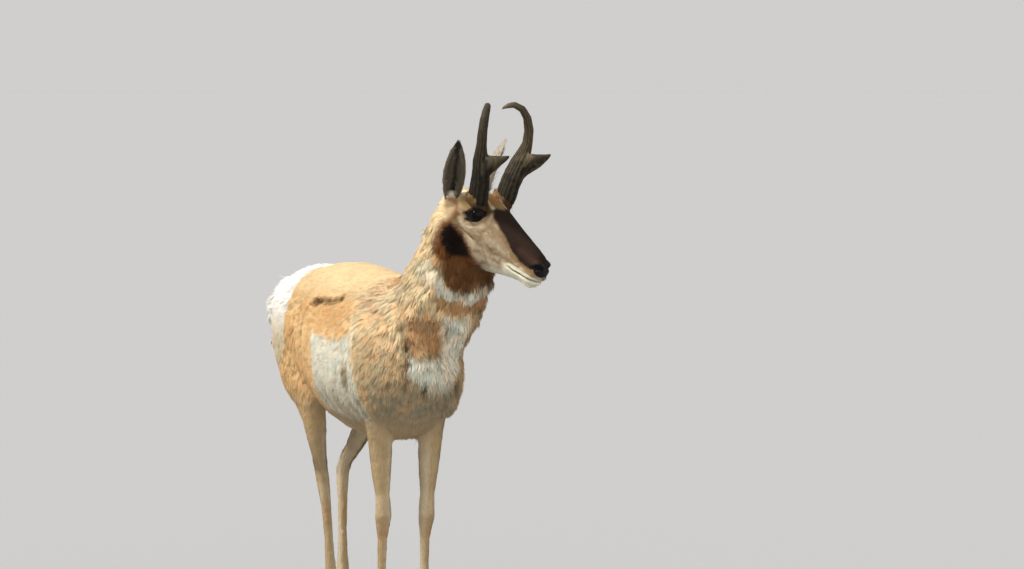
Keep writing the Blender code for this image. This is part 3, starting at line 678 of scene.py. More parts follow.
# %% Outlines of the markings
# Outlines in the body's ruler, as x and z seen from the side, or y and z seen from the front.
FLANK_PATCH = [
    (-7, 742), (88, 732), (164, 729), (213, 739), (252, 759), (243, 708), (244, 668),
    (263, 635), (261, 599), (252, 546), (191, 535), (100, 540), (28, 555), (-24, 599), (0, 644),
]
SHOULDER_STREAKS = [
    (199, 840), (202, 860), (229, 878), (337, 868), (336, 836), (310, 803), (264, 800),
]
CHEST_PATCH = [
    (39, 800), (123, 789), (114, 668), (79, 621), (38, 593), (11, 605), (-36, 658), (-33, 700),
    (9, 687), (51, 685), (54, 743),
]
CHEST_BROWN = [(-34, 793), (36, 794), (52, 698), (-27, 707)]
RUMP_EDGE = ([560, 640, 707, 744, 787, 822, 852, 900], [-430, -362, -304, -292, -295, -303, -329, -372])
SHOULDER_GAP = [(345, 48, 777), (368, 34, 743), (383, 38, 709), (394, 41, 658)]
CHEST_GAPS = (
    ([(392, 2, 640), (393, 4, 594)], 13), ([(409, 59, 770), (395, 62, 740)], 12),
    ([(376, 66, 690), (374, 82, 688)], 12), ([(352, 112, 650), (346, 96, 612)], 17),
    ([(388, 10, 706), (384, 14, 690)], 9),
)

# %% [markdown]
# ## Locks
# A moulting spring coat lies in locks as broad as a finger, with gaps between them that are
# painted darker, as shade. Each point of the skin belongs to the nearest lock's middle, measured
# with a ruler that is longer along the hair than across it. Towards a lock's tip the skin rises,
# and at its edge it dips.

# %% Which lock each point belongs to
LOCK_SPACING = 0.021
LOCK_STRETCH = 2.1


def locks_on(points, normals, lie, spacing, seed):
    """For each point: the edge of its lock from 0 to 1, its place along the lock, its tone and
    the way to the middle of the lock."""
    random = np.random.default_rng(seed)
    order = random.permutation(len(points))
    cell = np.floor(points[order] / spacing).astype(np.int64)
    _, first = np.unique((cell[:, 0] * 4099 + cell[:, 1]) * 4099 + cell[:, 2], return_index=True)
    middles = points[order[first]]
    tree = KDTree(len(middles))
    for index, middle in enumerate(middles):
        tree.insert(middle, index)
    tree.balance()
    near = np.array([[hit[1] for hit in tree.find_n(point, 7)] for point in points])
    away = middles[near] - points[:, None]
    along = (away * lie[:, None]).sum(axis=2)
    up = (away * normals[:, None]).sum(axis=2)
    aside = away - along[:, :, None] * lie[:, None] - up[:, :, None] * normals[:, None]
    measure = np.sqrt((along / LOCK_STRETCH) ** 2 + (aside**2).sum(axis=2) + up**2)
    rank = np.argsort(measure, axis=1)[:, :2]
    rows = np.arange(len(points))
    best, second = measure[rows, rank[:, 0]], measure[rows, rank[:, 1]]
    own = rank[:, 0]
    tone = random.normal(size=len(middles))[near[rows, own]]
    edge = best / np.maximum(second, 1e-9)
    reach = np.clip(-along[rows, own] / (spacing * LOCK_STRETCH * 0.62), -1, 1)
    return edge, reach, tone, aside[rows, own]


def shagginess(points):
    """How strongly the coat parts into locks, as the height of the relief in mm."""
    body = to_body(points)
    x, y, z = body.T
    amount = 1.7 + 2.8 * ramp(x, 120, 230)
    amount += 1.3 * ramp(-x, 60, 160) * (1 - ramp(z, 800, 850))
    amount -= 1.9 * ramp(z, 830, 870) * (1 - ramp(x, 180, 240))
    amount = amount * (1 - 0.45 * inside(FLANK_PATCH, x, z, 20))
    amount = amount * ramp(z, 510, 590)
    rump = 1 - ramp(x - np.interp(z, *RUMP_EDGE), -20, 20)
    amount = amount * (1 - 0.75 * rump * ramp(z, 560, 640))
    amount = amount + 0.6 * ramp(x, 330, 400) * ramp(z, 700, 780)
    return np.maximum(amount, 0.12) * (1 - ramp(on_head(points), -35, -5) * 0.97)


points = coordinates(skin.data)
normals = coordinates(skin.data, "normal")
lie = lie_of(points, normals)
lock_edge, lock_reach, lock_tone, lock_pull = locks_on(points, normals, lie, LOCK_SPACING, 5)
relief = shagginess(points)
rise = (0.15 + 0.85 * ramp(lock_reach, -0.9, 0.75)) * (1 - ramp(lock_edge, 0.55, 1.0)) - 0.32
move_points(skin.data, points + normals * (relief * rise * 0.001)[:, None])
lock_depth = np.clip(relief / 4.5, 0, 1)
print("locks shade the coat by up to", round(float(lock_depth.max()), 2))

# %% [markdown]
# ## The colours of the coat
# A pronghorn is tan with a white rump, white flanks and belly, white bands across the throat,
# a black nose and black cheek patches with a rusty rim. One function gives the colour of any
# place on the body, so that the skin and the hairs on it always agree. Every edge wanders a
# little with the noise, as hair does. Light is painted in as well: the belly, the low flanks and
# the chest's underside and far side are painted grey-brown as shade, creases, gaps and hollows
# darker, the top of the back paler as a highlight, and the nose band has a painted sheen.

# %% Hair colours
TAN = (0.70, 0.445, 0.205)
# a pale tan, painted on the top of the back as a highlight and in paler patches lower down
PALE_TAN_AND_HIGHLIGHT = (0.77, 0.600, 0.355)
LIGHT_TAN = (0.76, 0.570, 0.335)
RUST = (0.44, 0.225, 0.095)
WHITE = (0.90, 0.885, 0.83)
# the cream of the rump's lower edge, partly its own colour and partly painted shade
RUMP_CREAM_AND_SHADE = (0.68, 0.58, 0.40)
FLANK_WHITE = (0.73, 0.72, 0.60)
# a grey-brown for painted shade on the white underparts, also used for grey spots
SHADE_AND_SPOT_GREY = (0.34, 0.275, 0.175)
CREAM_LINE = (0.86, 0.78, 0.56)
THROAT_WHITE = (0.86, 0.82, 0.67)
THROAT_BROWN = (0.120, 0.050, 0.015)
CHEEK_BLACK = (0.007, 0.004, 0.003)
CHEEK_RUST = (0.17, 0.058, 0.016)
FACE_TAN = (0.37, 0.262, 0.150)
FACE_FLECK = (0.58, 0.49, 0.35)
FOREHEAD = (0.27, 0.172, 0.072)
BROW_RUST = (0.26, 0.125, 0.045)
BROW_BROWN = (0.055, 0.026, 0.014)
NOSE_BROWN = (0.028, 0.016, 0.011)
NOSE_BLACK = (0.004, 0.003, 0.003)
EYE_PALE = (0.66, 0.54, 0.37)
LIP_CREAM = (0.90, 0.86, 0.68)
LEG_TAN = (0.47, 0.345, 0.190)
LEG_PALE = (0.66, 0.55, 0.38)
# a dark brown for painted shade in the gaps and hollows between locks
GAP_SHADE_BROWN = (0.070, 0.048, 0.026)
MANE_BROWN = (0.36, 0.20, 0.085)


def trunk_colour(points, body, both):
    x, y, z = body.T
    side = ramp(both[:, 1], 60, 90)
    streak = noise(points * (0.35, 1, 1), 0.009, 21)
    colour = np.tile(np.array(TAN), (len(points), 1))
    colour = blend(colour, LIGHT_TAN, ramp(x, 150, 230) * 0.85)
    # painted highlight: the top of the back is paler, as where the light falls on it
    colour = blend(colour, PALE_TAN_AND_HIGHLIGHT, ramp(z, 800, 862) * 0.85)
    colour = blend(colour, (0.42, 0.30, 0.165), ramp(x, 230, 300) * (1 - ramp(z, 640, 770)) * 0.75)
    colour = blend(colour, RUST, groove(both, [(236, 30, 880), (290, 30, 886), (345, 40, 882)], 34) * 0.8)
    colour = blend(colour, RUST, 0.32 * ramp(noise(points, 0.030, 22), 0.0, 0.8) * ramp(z, 560, 640) * (1 - ramp(z, 815, 850)))
    colour = blend(colour, PALE_TAN_AND_HIGHLIGHT, 0.45 * ramp(noise(points, 0.026, 24), 0.1, 0.8) * ramp(z, 600, 700))
    band = bump_at(z - 775 - x * 0.03, 0, 46) * ramp(x, -80, -20) * (1 - ramp(x, 170, 220))
    colour = blend(colour, RUST, band * 0.30)
    # painted shade: the belly, white on the animal, is painted grey-brown as if in shade
    colour = blend(colour, SHADE_AND_SPOT_GREY, 1 - ramp(z, 520, 585))
    patch = inside(FLANK_PATCH, x, z, 9) * side
    colour = blend(colour, FLANK_WHITE, patch * (0.95 - 0.16 * ramp(streak, 0.2, 0.8)))
    spots = ramp(noise(points, 0.011, 25), 0.35, 0.75) * patch
    colour = blend(colour, SHADE_AND_SPOT_GREY, spots * 0.35)
    # painted shade in the flank's hollow, on the white patch
    hollow = 1 - ramp(np.hypot((x - 204) / 22, (z - 640) / 38), 0.3, 1.1)
    colour = blend(colour, SHADE_AND_SPOT_GREY, np.clip(hollow * 1.3, 0, 1) * patch)
    # painted shade: the white patch turns grey-brown towards its lower edge, with paler ribs left in it
    low = (1 - ramp(z + 0.12 * x, 575, 665)) * patch
    colour = blend(colour, SHADE_AND_SPOT_GREY, low * 0.72)
    ribs = np.sin((x * 0.8 + z * 0.45) / 7.5 + noise(points, 0.05, 26) * 1.5)
    colour = blend(colour, FLANK_WHITE, low * ramp(ribs, 0.1, 1) * 0.4)
    line = bump_at(inside(FLANK_PATCH, x, z, 26), 0.32, 0.20) * ramp(x, 222, 238) * side
    colour = blend(colour, CREAM_LINE, line * 0.85)
    bare = inside(SHOULDER_STREAKS, x, z, 10) * ramp(both[:, 1], 15, 40)
    colour = blend(colour, (0.70, 0.56, 0.36), bare * 0.8)
    turn = np.arctan2(z - 838, x - 292)
    reach = np.hypot(z - 838, x - 292)
    rays = np.sin(turn * 46 + reach * 0.05 + noise(points, 0.03, 23) * 2.4)
    colour = blend(colour, (0.40, 0.19, 0.105), bare * ramp(rays, 0.0, 0.9) * ramp(reach, 14, 34) * 0.75)
    # painted shade in the flank's crease, on the right side only
    crease = np.clip(groove(both, CREASE, 19) * 1.9, 0, 1) * (y < 0)
    colour = blend(colour, (0.07, 0.034, 0.014), crease)
    # painted shade along the fold in front of the haunch
    fold = groove(both, [(-70, 142, 812), (-112, 150, 780), (-120, 152, 730)], 15)
    colour = blend(colour, (0.24, 0.13, 0.055), fold * 0.45)
    # painted shade in a gap between locks at the front of the shoulder, broken up by the noise
    teeth = 0.35 + 0.65 * ramp(noise(points * (1, 1, 2.0), 0.016, 29), -0.3, 0.4)
    return blend(colour, GAP_SHADE_BROWN, groove(both, SHOULDER_GAP, 20) * teeth * ramp(x, 290, 320))


def chest_colour(points, colour, body):
    x, y, z = body.T
    front = ramp(x, 300, 340) * (1 - ramp(z, 815, 835))
    colour = blend(colour, RUST, inside(CHEST_BROWN, y, z, 10) * front * 0.8)
    patchy = noise(points, 0.018, 27)
    white = inside(CHEST_PATCH, y, z, 8) * front
    colour = blend(colour, THROAT_WHITE, white * (0.93 - 0.35 * ramp(patchy, 0.35, 0.8)))
    # painted shade under the chest
    under = (1 - ramp(z, 590, 650)) * front
    colour = blend(colour, SHADE_AND_SPOT_GREY, under * 0.85)
    # painted shade on the far, left side of the chest
    left = ramp(y, 118, 140) * front
    colour = blend(colour, (0.22, 0.155, 0.09), left * 0.5)
    # painted shade in the hollows between the chest's locks
    for path, reach in CHEST_GAPS:
        colour = blend(colour, GAP_SHADE_BROWN, groove(body, path, reach) * 0.75)
    return colour


def neck_colour(points, colour, body):
    """Rust and white bands across the throat, and the dark mane on the nape."""
    x, y, z = body.T
    aside = np.abs(y - 98 - (z - 860) * 0.05)
    front = ramp(x - (z - 800) * 0.30, 346, 372) * ramp(z, 775, 800)
    upper = np.interp(aside, [0, 20, 40, 60, 90, 120], [858, 860, 864, 874, 922, 958])
    lower = np.interp(aside, [0, 30, 67, 99, 120], [834, 837, 850, 888, 914])
    high = ramp(z, 775, 800)
    fleck = ramp(noise(points, 0.012, 28), 0.15, 0.7)
    rust = ramp(z, lower - 34, lower - 26) * (1 - ramp(z, lower - 6, lower)) * (1 - ramp(aside, 62, 86))
    colour = blend(colour, RUST, rust * front * 0.85)
    band = ramp(z, lower - 5, lower + 3) * (1 - ramp(z, upper - 4, upper + 6)) * front
    colour = blend(colour, THROAT_WHITE, band * (1 - 0.45 * fleck) * (1 - 0.45 * ramp(aside, 60, 90)))
    brown = ramp(z, upper - 3, upper + 8) * front * (1 - ramp(aside, 58, 74))
    colour = blend(colour, THROAT_BROWN, brown * 0.85)
    nape = (1 - ramp(x - np.interp(z, [800, 880, 960, 1040, 1090], [228, 290, 348, 384, 396]), 2, 20)) * high
    return blend(colour, MANE_BROWN, nape * 0.2)


# %% The markings of the head
CHEEK_PATCH = [
    (44, -50), (36, -66), (36, -88), (48, -104), (66, -114), (84, -118), (112, -106), (134, -90),
    (113, -73), (85, -64), (62, -53),
]
CHEEK_RIM = [
    (40, -44), (22, -60), (20, -92), (36, -118), (66, -134), (100, -132), (140, -112), (150, -92),
    (116, -70), (88, -61), (62, -49),
]
EYE_SURROUND = [
    (50, -18), (56, -7), (65, 8), (77, 21), (92, 30), (104, 28), (109, 18), (107, 6), (97, -9),
    (85, -18), (70, -23), (58, -23),
]
BROW_PATCH = [(70, 18), (72, 30), (84, 46), (104, 48), (114, 36), (112, 20), (90, 14)]
NOSE_EDGE = ([92, 100, 112, 124, 154, 187, 218, 254, 282, 302], [60, 44, 31, 25, 17, 9, -8, -15, -13, -5])
LIP_EDGE = ([205, 224, 245, 266, 302, 322], [-48, -39, -31, -29, -24, -22])


def head_colour(points, place, side):
    x, y, z = side.T
    colour = np.tile(np.array(FACE_TAN), (len(points), 1))
    colour = blend(colour, FACE_FLECK, ramp(noise(points, 0.007, 31) - z * 0.008, 0.1, 0.9) * 0.7 * ramp(x, 60, 100))
    colour = blend(colour, LIGHT_TAN, (1 - ramp(x, 20, 60)) * 0.7)
    colour = blend(colour, FOREHEAD, ramp(z, -10, 8) * (1 - ramp(x, 98, 120)) * ramp(x, 10, 40))
    colour = blend(colour, BROW_RUST, stroke(side, [(-16, -8), (12, -6), (34, -14), (44, -40)], 12) * 0.8)
    colour = blend(colour, BROW_RUST, ramp(z, 28, 44) * (1 - ramp(y, 26, 40)) * (1 - ramp(x, 84, 104)) * 0.8)
    colour = blend(colour, EYE_PALE, stroke(side, [(58, -34), (78, -38), (100, -30), (118, -6)], 13) * 0.95)
    colour = blend(colour, EYE_PALE, stroke(side, [(118, 32), (124, 14)], 8) * 0.6)
    colour = blend(colour, FACE_FLECK, stroke(side, [(150, -22), (200, -26)], 22) * 0.45)
    # painted shade in the groove below the eye
    crease = stroke(side, [(46, -22), (52, -36), (70, -46), (94, -49), (114, -50)], 3.6)
    colour = blend(colour, (0.13, 0.070, 0.034), crease * 0.8)
    colour = blend(colour, LIP_CREAM, (1 - ramp(z, -80, -60)) * ramp(x, 160, 195) * 0.65)
    edge = np.interp(x, *NOSE_EDGE)
    band = ramp(z - edge, -4, 5) * ramp(x + 0.5 * y, 108, 124) * (1 - ramp(y, 27, 36) * (1 - ramp(x, 100, 122)))
    colour = blend(colour, BROW_RUST, bump_at(z - edge, -5, 9) * ramp(x, 150, 180) * 0.5)
    colour = blend(colour, NOSE_BROWN, band)
    # painted highlight: a paler purple-brown sheen on the middle of the black nose band
    colour = blend(colour, (0.075, 0.038, 0.026), band * groove(side, [(236, 24, 8), (286, 22, 10)], 16) * 0.55)
    lip = (1 - ramp(z - np.interp(x, *LIP_EDGE), -3, 3)) * ramp(x, 200, 222)
    colour = blend(colour, LIP_CREAM, lip)
    cream = stroke(side, [(-8, -5), (4, 6), (14, 16)], 11)
    cream = np.maximum(cream, groove(side, [(66, 22, 46), (88, 24, 42), (104, 24, 38)], 8) * 0.7)
    colour = blend(colour, LIP_CREAM, cream * 0.85)
    colour = blend(colour, BROW_BROWN, inside(BROW_PATCH, x, z, 6) * ramp(y, 24, 34) * 0.9)
    colour = blend(colour, CHEEK_BLACK, inside(EYE_SURROUND, x, z, 2.5) * ramp(y, 24, 34))
    lips = groove(side * (1, 0, 1), [(x, 0, z) for x, z in MOUTH], 3.2)
    colour = blend(colour, CHEEK_BLACK, lips * 0.95)
    return blend(colour, NOSE_BLACK, nose_leather(side))


def cheek_colour(points, colour, side):
    """The black patch behind the jaw, its rusty rim and the brown of the throat."""
    x, y, z = side.T
    near = ramp(on_head(points), -95, -70) * ramp(y, 10, 24)
    front = ramp(on_head(points), -80, -50)
    throat = (1 - ramp(z, -118 + 0.16 * (x - 60), -96 + 0.16 * (x - 60))) * (1 - ramp(x, 142, 166))
    throat = throat * ramp(x + 0.35 * z, -35, -5) * front
    colour = blend(colour, THROAT_BROWN, throat * 0.9)
    colour = blend(colour, CHEEK_RUST, inside(CHEEK_RIM, x, z, 9) * near * 0.92)
    colour = blend(colour, THROAT_BROWN, inside(CHEEK_RIM, x, z, 6) * (1 - ramp(z, -124, -108)) * near * 0.7)
    return blend(colour, CHEEK_BLACK, inside(CHEEK_PATCH, x, z, 8) * near)


def nose_leather(side):
    """The bare nose: its tip, the nostrils and the strip between them down to the lip."""
    x, y, z = side.T
    tip = 1 - ramp(np.linalg.norm((side - (311, 14, 2)) / (22, 26, 19), axis=1), 0.86, 1.08)
    strip = groove(side, [(320, 0, -20), (324, 0, 0)], 9)
    return np.maximum(tip * ramp(z, -20, -13), strip)


def leg_colour(points, body, normals):
    z = body[:, 2]
    inner = ramp(-normals[:, 1] * np.sign(body[:, 1]), 0.05, 0.6)
    colour = np.tile(np.array(LEG_TAN), (len(points), 1))
    colour = blend(colour, LEG_PALE, inner * 0.7)
    colour = blend(colour, LEG_PALE, bump_at(z, 318, 46) * 0.35)
    colour = blend(colour, RUST, bump_at(z, 250, 60) * 0.35 * ramp(normals[:, 0], 0.1, 0.7))
    colour = blend(colour, TAN, ramp(z, 440, 560) * 0.6)
    return blend(colour, LEG_PALE, (1 - ramp(z, 60, 110)) * 0.5)


def coat_colour(points, normals):
    warp = [noise(points, 0.024, s) * 5 + noise(points, 0.009, s + 3) * 2.4 for s in (11, 12, 13)]
    warp = np.stack(warp, axis=1)
    body, head = to_body(points) + warp, to_head(points) + warp * 0.3
    both = mirrored(body)
    colour = trunk_colour(points, body, both)
    colour = chest_colour(points, colour, body)
    colour = neck_colour(points, colour, body)
    legs = leg_colour(points, body, normals)
    down = 500 + 60 * ramp(body[:, 0], -150, -250)
    colour = blend(colour, legs, 1 - ramp(body[:, 2], down - 55, down + 65))
    rump = 1 - ramp(body[:, 0] - np.interp(body[:, 2], *RUMP_EDGE), -7, 7)
    # the rump's white turns cream towards its lower edge, partly as painted shade
    pale = blend(np.tile(RUMP_CREAM_AND_SHADE, (len(points), 1)), WHITE, ramp(body[:, 2], 690, 800))
    colour = blend(colour, pale, rump * ramp(body[:, 2], 590, 700))
    share = ramp(on_head(points) + warp[:, 0] * 0.5, -6, 22)
    colour = blend(colour, head_colour(points, head, mirrored(head)), share)
    return np.clip(cheek_colour(points, colour, mirrored(head)), 0, 1)


points = coordinates(skin.data)
normals = coordinates(skin.data, "normal")
skin_colour = coat_colour(points, normals)
print("mean colour of the skin:", skin_colour.mean(axis=0).round(2))

# %% [markdown]
# ## Materials
# Shader maths reads best as plain expressions. A small class wraps a socket, so that
# adding or multiplying two of them adds the Math nodes. Any other node comes from one method.

# %% A small language for materials
class Shade:
    """A value in a material: a socket, or a plain number, with the usual operators."""

    def __init__(self, paint, socket):
        self.paint, self.socket = paint, socket

    def maths(self, operation, *values):
        return self.paint.node("ShaderNodeMath", {"operation": operation}, *values)

    def __add__(self, other):
        return self.maths("ADD", self, other)

    def __sub__(self, other):
        return self.maths("SUBTRACT", self, other)

    def __rsub__(self, other):
        return self.maths("SUBTRACT", other, self)

    def __mul__(self, other):
        return self.maths("MULTIPLY", self, other)

    def __pow__(self, other):
        return self.maths("POWER", self, other)

    def clip(self, low, high):
        """0 at low and 1 at high."""
        settings = {"interpolation_type": "SMOOTHSTEP"}
        return self.paint.node("ShaderNodeMapRange", settings, self, low, high)

    __radd__, __rmul__ = __add__, __mul__


class Paint:
    """A node material with one Principled shader."""

    def __init__(self, name):
        self.material = bpy.data.materials.new(name)
        self.material.use_nodes = True
        self.tree = self.material.node_tree
        self.shader = self.tree.nodes["Principled BSDF"]

    def node(self, kind, settings, *values, out=0):
        made = self.tree.nodes.new(kind)
        for name, value in settings.items():
            setattr(made, name, value)
        for place, value in enumerate(values):
            self.feed(made.inputs[place], value)
        return Shade(self, made.outputs[out])

    def feed(self, socket, value):
        if isinstance(value, Shade):
            self.tree.links.new(value.socket, socket)
        elif value is not None:
            socket.default_value = value

    def set(self, **values):
        for name, value in values.items():
            self.feed(self.shader.inputs[name.replace("_", " ")], value)
        return self

    def place(self, scale=(1, 1, 1), turn=(0, 0, 0)):
        where = self.node("ShaderNodeTexCoord", {}, out=3)
        return self.node("ShaderNodeMapping", {}, where, (0, 0, 0), turn, scale)

    def attribute(self, name, out=0):
        return self.node("ShaderNodeAttribute", {"attribute_name": name}, out=out)

    def grain(self, scale, detail=4, rough=0.55, where=None):
        """Noise from 0 to 1 with about this many lumps in a metre."""
        where = where or self.place()
        return self.node("ShaderNodeTexNoise", {}, where, None, float(scale), float(detail), float(rough))

    def mix(self, share, a, b, blend="MIX"):
        made = self.tree.nodes.new("ShaderNodeMix")
        made.data_type = "RGBA"
        made.blend_type = blend
        for socket, value in ((made.inputs[0], share), (made.inputs[6], a), (made.inputs[7], b)):
            self.feed(socket, value if isinstance(value, Shade) or socket == made.inputs[0] else (*value, 1))
        return Shade(self, made.outputs[2])

    def bump(self, height, distance, strength=1.0):
        made = self.tree.nodes.new("ShaderNodeBump")
        made.inputs["Strength"].default_value = strength
        made.inputs["Distance"].default_value = distance
        self.feed(made.inputs["Height"], height)
        return self.set(Normal=Shade(self, made.outputs[0]))


def paint_points(mesh, name, colours):
    layer = mesh.attributes.new(name, "FLOAT_COLOR", "POINT")
    layer.data.foreach_set("color", np.hstack([colours, np.ones((len(colours), 1))]).astype(np.float32).ravel())


def paint_value(mesh, name, values):
    layer = mesh.attributes.new(name, "FLOAT", "POINT")
    layer.data.foreach_set("value", values.astype(np.float32))


def dress(obj, paint, slot, *nodes):
    """Gives a piece its material and its body, and hides the nodes that it stands for. The slot is not used."""
    obj.data.materials.clear()
    obj.data.materials.append(paint.material)
    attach(obj, "root")
    if nodes:
        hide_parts(*nodes)


# %% [markdown]
# ## The skin's own finish
# Between the tufts the skin shows short hair, so it gets the coat's colour a little darker, as
# painted shade under the tufts, and darker still between the locks and a little lighter on their
# crests, as painted shade and highlight, with a fine bump. The bare nose is leathery: black, finely
# pebbled and a little wet.

# %% Finish the skin
def lock_shade(edge, reach, depth):
    """How light the hair is at this place of its lock, as painted light: painted shade in the gaps and a painted
    highlight on the crest.
    """
    gap = 1 - (0.50 * ramp(edge, 0.70, 1.0) + 0.14 * (1 - ramp(reach, -1, -0.2))) * depth
    return gap * (1 + 0.10 * ramp(reach, 0.0, 0.8) * depth)


bare = nose_leather(mirrored(to_head(points))) * ramp(on_head(points), 0, 10)
# painted shade: darker in the lock gaps and under the tufts, lighter on the locks' crests; the bare nose gets no
# shade from tufts
skin_shade = lock_shade(lock_edge, lock_reach, lock_depth) * (1 - 0.12 * (1 - bare))
paint_points(skin.data, "hair_colour", np.clip(skin_colour * skin_shade[:, None], 0, 1))
paint_value(skin.data, "bare", bare)
skin_paint = Paint("short_hair_on_skin")
leather = skin_paint.attribute("bare", out=2)
hair_grain = skin_paint.grain(650, 3, 0.6)
pebbles = skin_paint.node("ShaderNodeTexVoronoi", {}, skin_paint.place(), None, 700.0)
skin_paint.set(Base_Color=skin_paint.mix(hair_grain.clip(0.3, 0.7) * 0.5, skin_paint.attribute("hair_colour"),
                                         (0.82, 0.78, 0.72), "MULTIPLY"))
skin_paint.set(Roughness=0.85 - leather * 0.47, Specular_IOR_Level=0.15)
skin_paint.bump(hair_grain * (1 - leather) + pebbles * leather * 0.6, 0.0012)
pick(skin)
bpy.ops.object.mode_set(mode="EDIT")
bpy.ops.mesh.select_all(action="SELECT")
bpy.ops.uv.smart_project(angle_limit=1.15, island_margin=0.002)
bpy.ops.object.mode_set(mode="OBJECT")
skin.data.uv_layers[0].name = "OFBake"
dress(skin, skin_paint, "coat", *[name for name in flesh_nodes if not name.startswith("ear")])

# %% [markdown]
# ## Tufts
# A tuft is a thin, pointed leaf of hair, rooted just under the skin: four triangles when it is
# short, eight when it is long enough to bend. Its top is shaded as the body beneath it is, so
# that the coat looks soft. Scattering picks one root in each small cell of space, which spreads them
# evenly. Each tuft's place on the bake map is a tiny patch at its root's place on the unwrap.

# %% A surface to grow hair on
class Ground:
    """A surface's triangles, and what is known at each of its points."""

    def __init__(self, obj, **known):
        mesh = obj.data
        self.points = coordinates(mesh)
        self.faces = triangles(mesh)
        loops = np.empty(len(self.faces) * 3, np.int32)
        mesh.loop_triangles.foreach_get("loops", loops)
        flat = np.empty(len(mesh.loops) * 2, np.float32)
        mesh.uv_layers["OFBake"].data.foreach_get("uv", flat)
        self.unwrap = flat.reshape(-1, 2)[loops].reshape(-1, 3, 2)
        self.known = dict(known, normal=coordinates(mesh, "normal"))


class Roots:
    """Places for tufts, with what is known there."""

    def __init__(self, **known):
        self.known = known
        self.__dict__.update(known)

    def only(self, mask):
        return Roots(**{name: values[mask] for name, values in self.known.items()})


def scatter(ground, wanted, spacing, seed):
    """One root for each cell of this size, in metres, on the faces whose points are wanted."""
    random = np.random.default_rng(seed)
    chosen_faces = wanted[ground.faces].all(axis=1)
    faces, unwrap = ground.faces[chosen_faces], ground.unwrap[chosen_faces]
    corners = ground.points[faces]
    area = np.linalg.norm(np.cross(corners[:, 1] - corners[:, 0], corners[:, 2] - corners[:, 0]), axis=1) / 2
    count = int(area.sum() / spacing**2 * 4)
    chosen = np.minimum(np.searchsorted(np.cumsum(area), random.random(count) * area.sum()), len(faces) - 1)
    a, b = random.random(count), random.random(count)
    over = a + b > 1
    a[over], b[over] = 1 - a[over], 1 - b[over]
    share = np.stack([1 - a - b, a, b], axis=1)[:, :, None]
    where = (corners[chosen] * share).sum(axis=1)
    cell = np.floor(where / spacing).astype(np.int64)
    _, first = np.unique((cell[:, 0] * 4099 + cell[:, 1]) * 4099 + cell[:, 2], return_index=True)
    share, corner = share[first], faces[chosen[first]]
    known = {"where": where[first], "unwrap": (unwrap[chosen[first]] * share).sum(axis=1)}
    for name, values in ground.known.items():
        mixed = (values[corner].reshape(len(corner), 3, -1) * share).sum(axis=1)
        known[name] = unit(mixed) if name in ("normal", "lie") else mixed.reshape(-1, *values.shape[1:])
    return Roots(**known)


# %% Leaves of hair from roots
SHORT_RINGS = ((0.40, 1.0),)
LONG_RINGS = ((0.25, 0.85), (0.62, 0.80))
PATCH = 0.003


def leaf_faces(rings):
    """The triangles of one leaf, the arched top's first, and which of them are the top's."""
    tip = 2 * rings + 1
    faces = [(0, 1, 2), (tip - 2, tip, tip - 1)]
    for left in range(1, tip - 2, 2):
        faces += [(left, left + 2, left + 1), (left + 1, left + 2, left + 3)]
    tops = len(faces)
    faces += [(0, tip, tip - 2), (0, tip - 1, tip)]
    for left in range(1, tip - 2, 2):
        faces += [(0, left + 2, left), (0, left + 1, left + 3)]
    return np.array(faces), np.arange(len(faces)) < tops


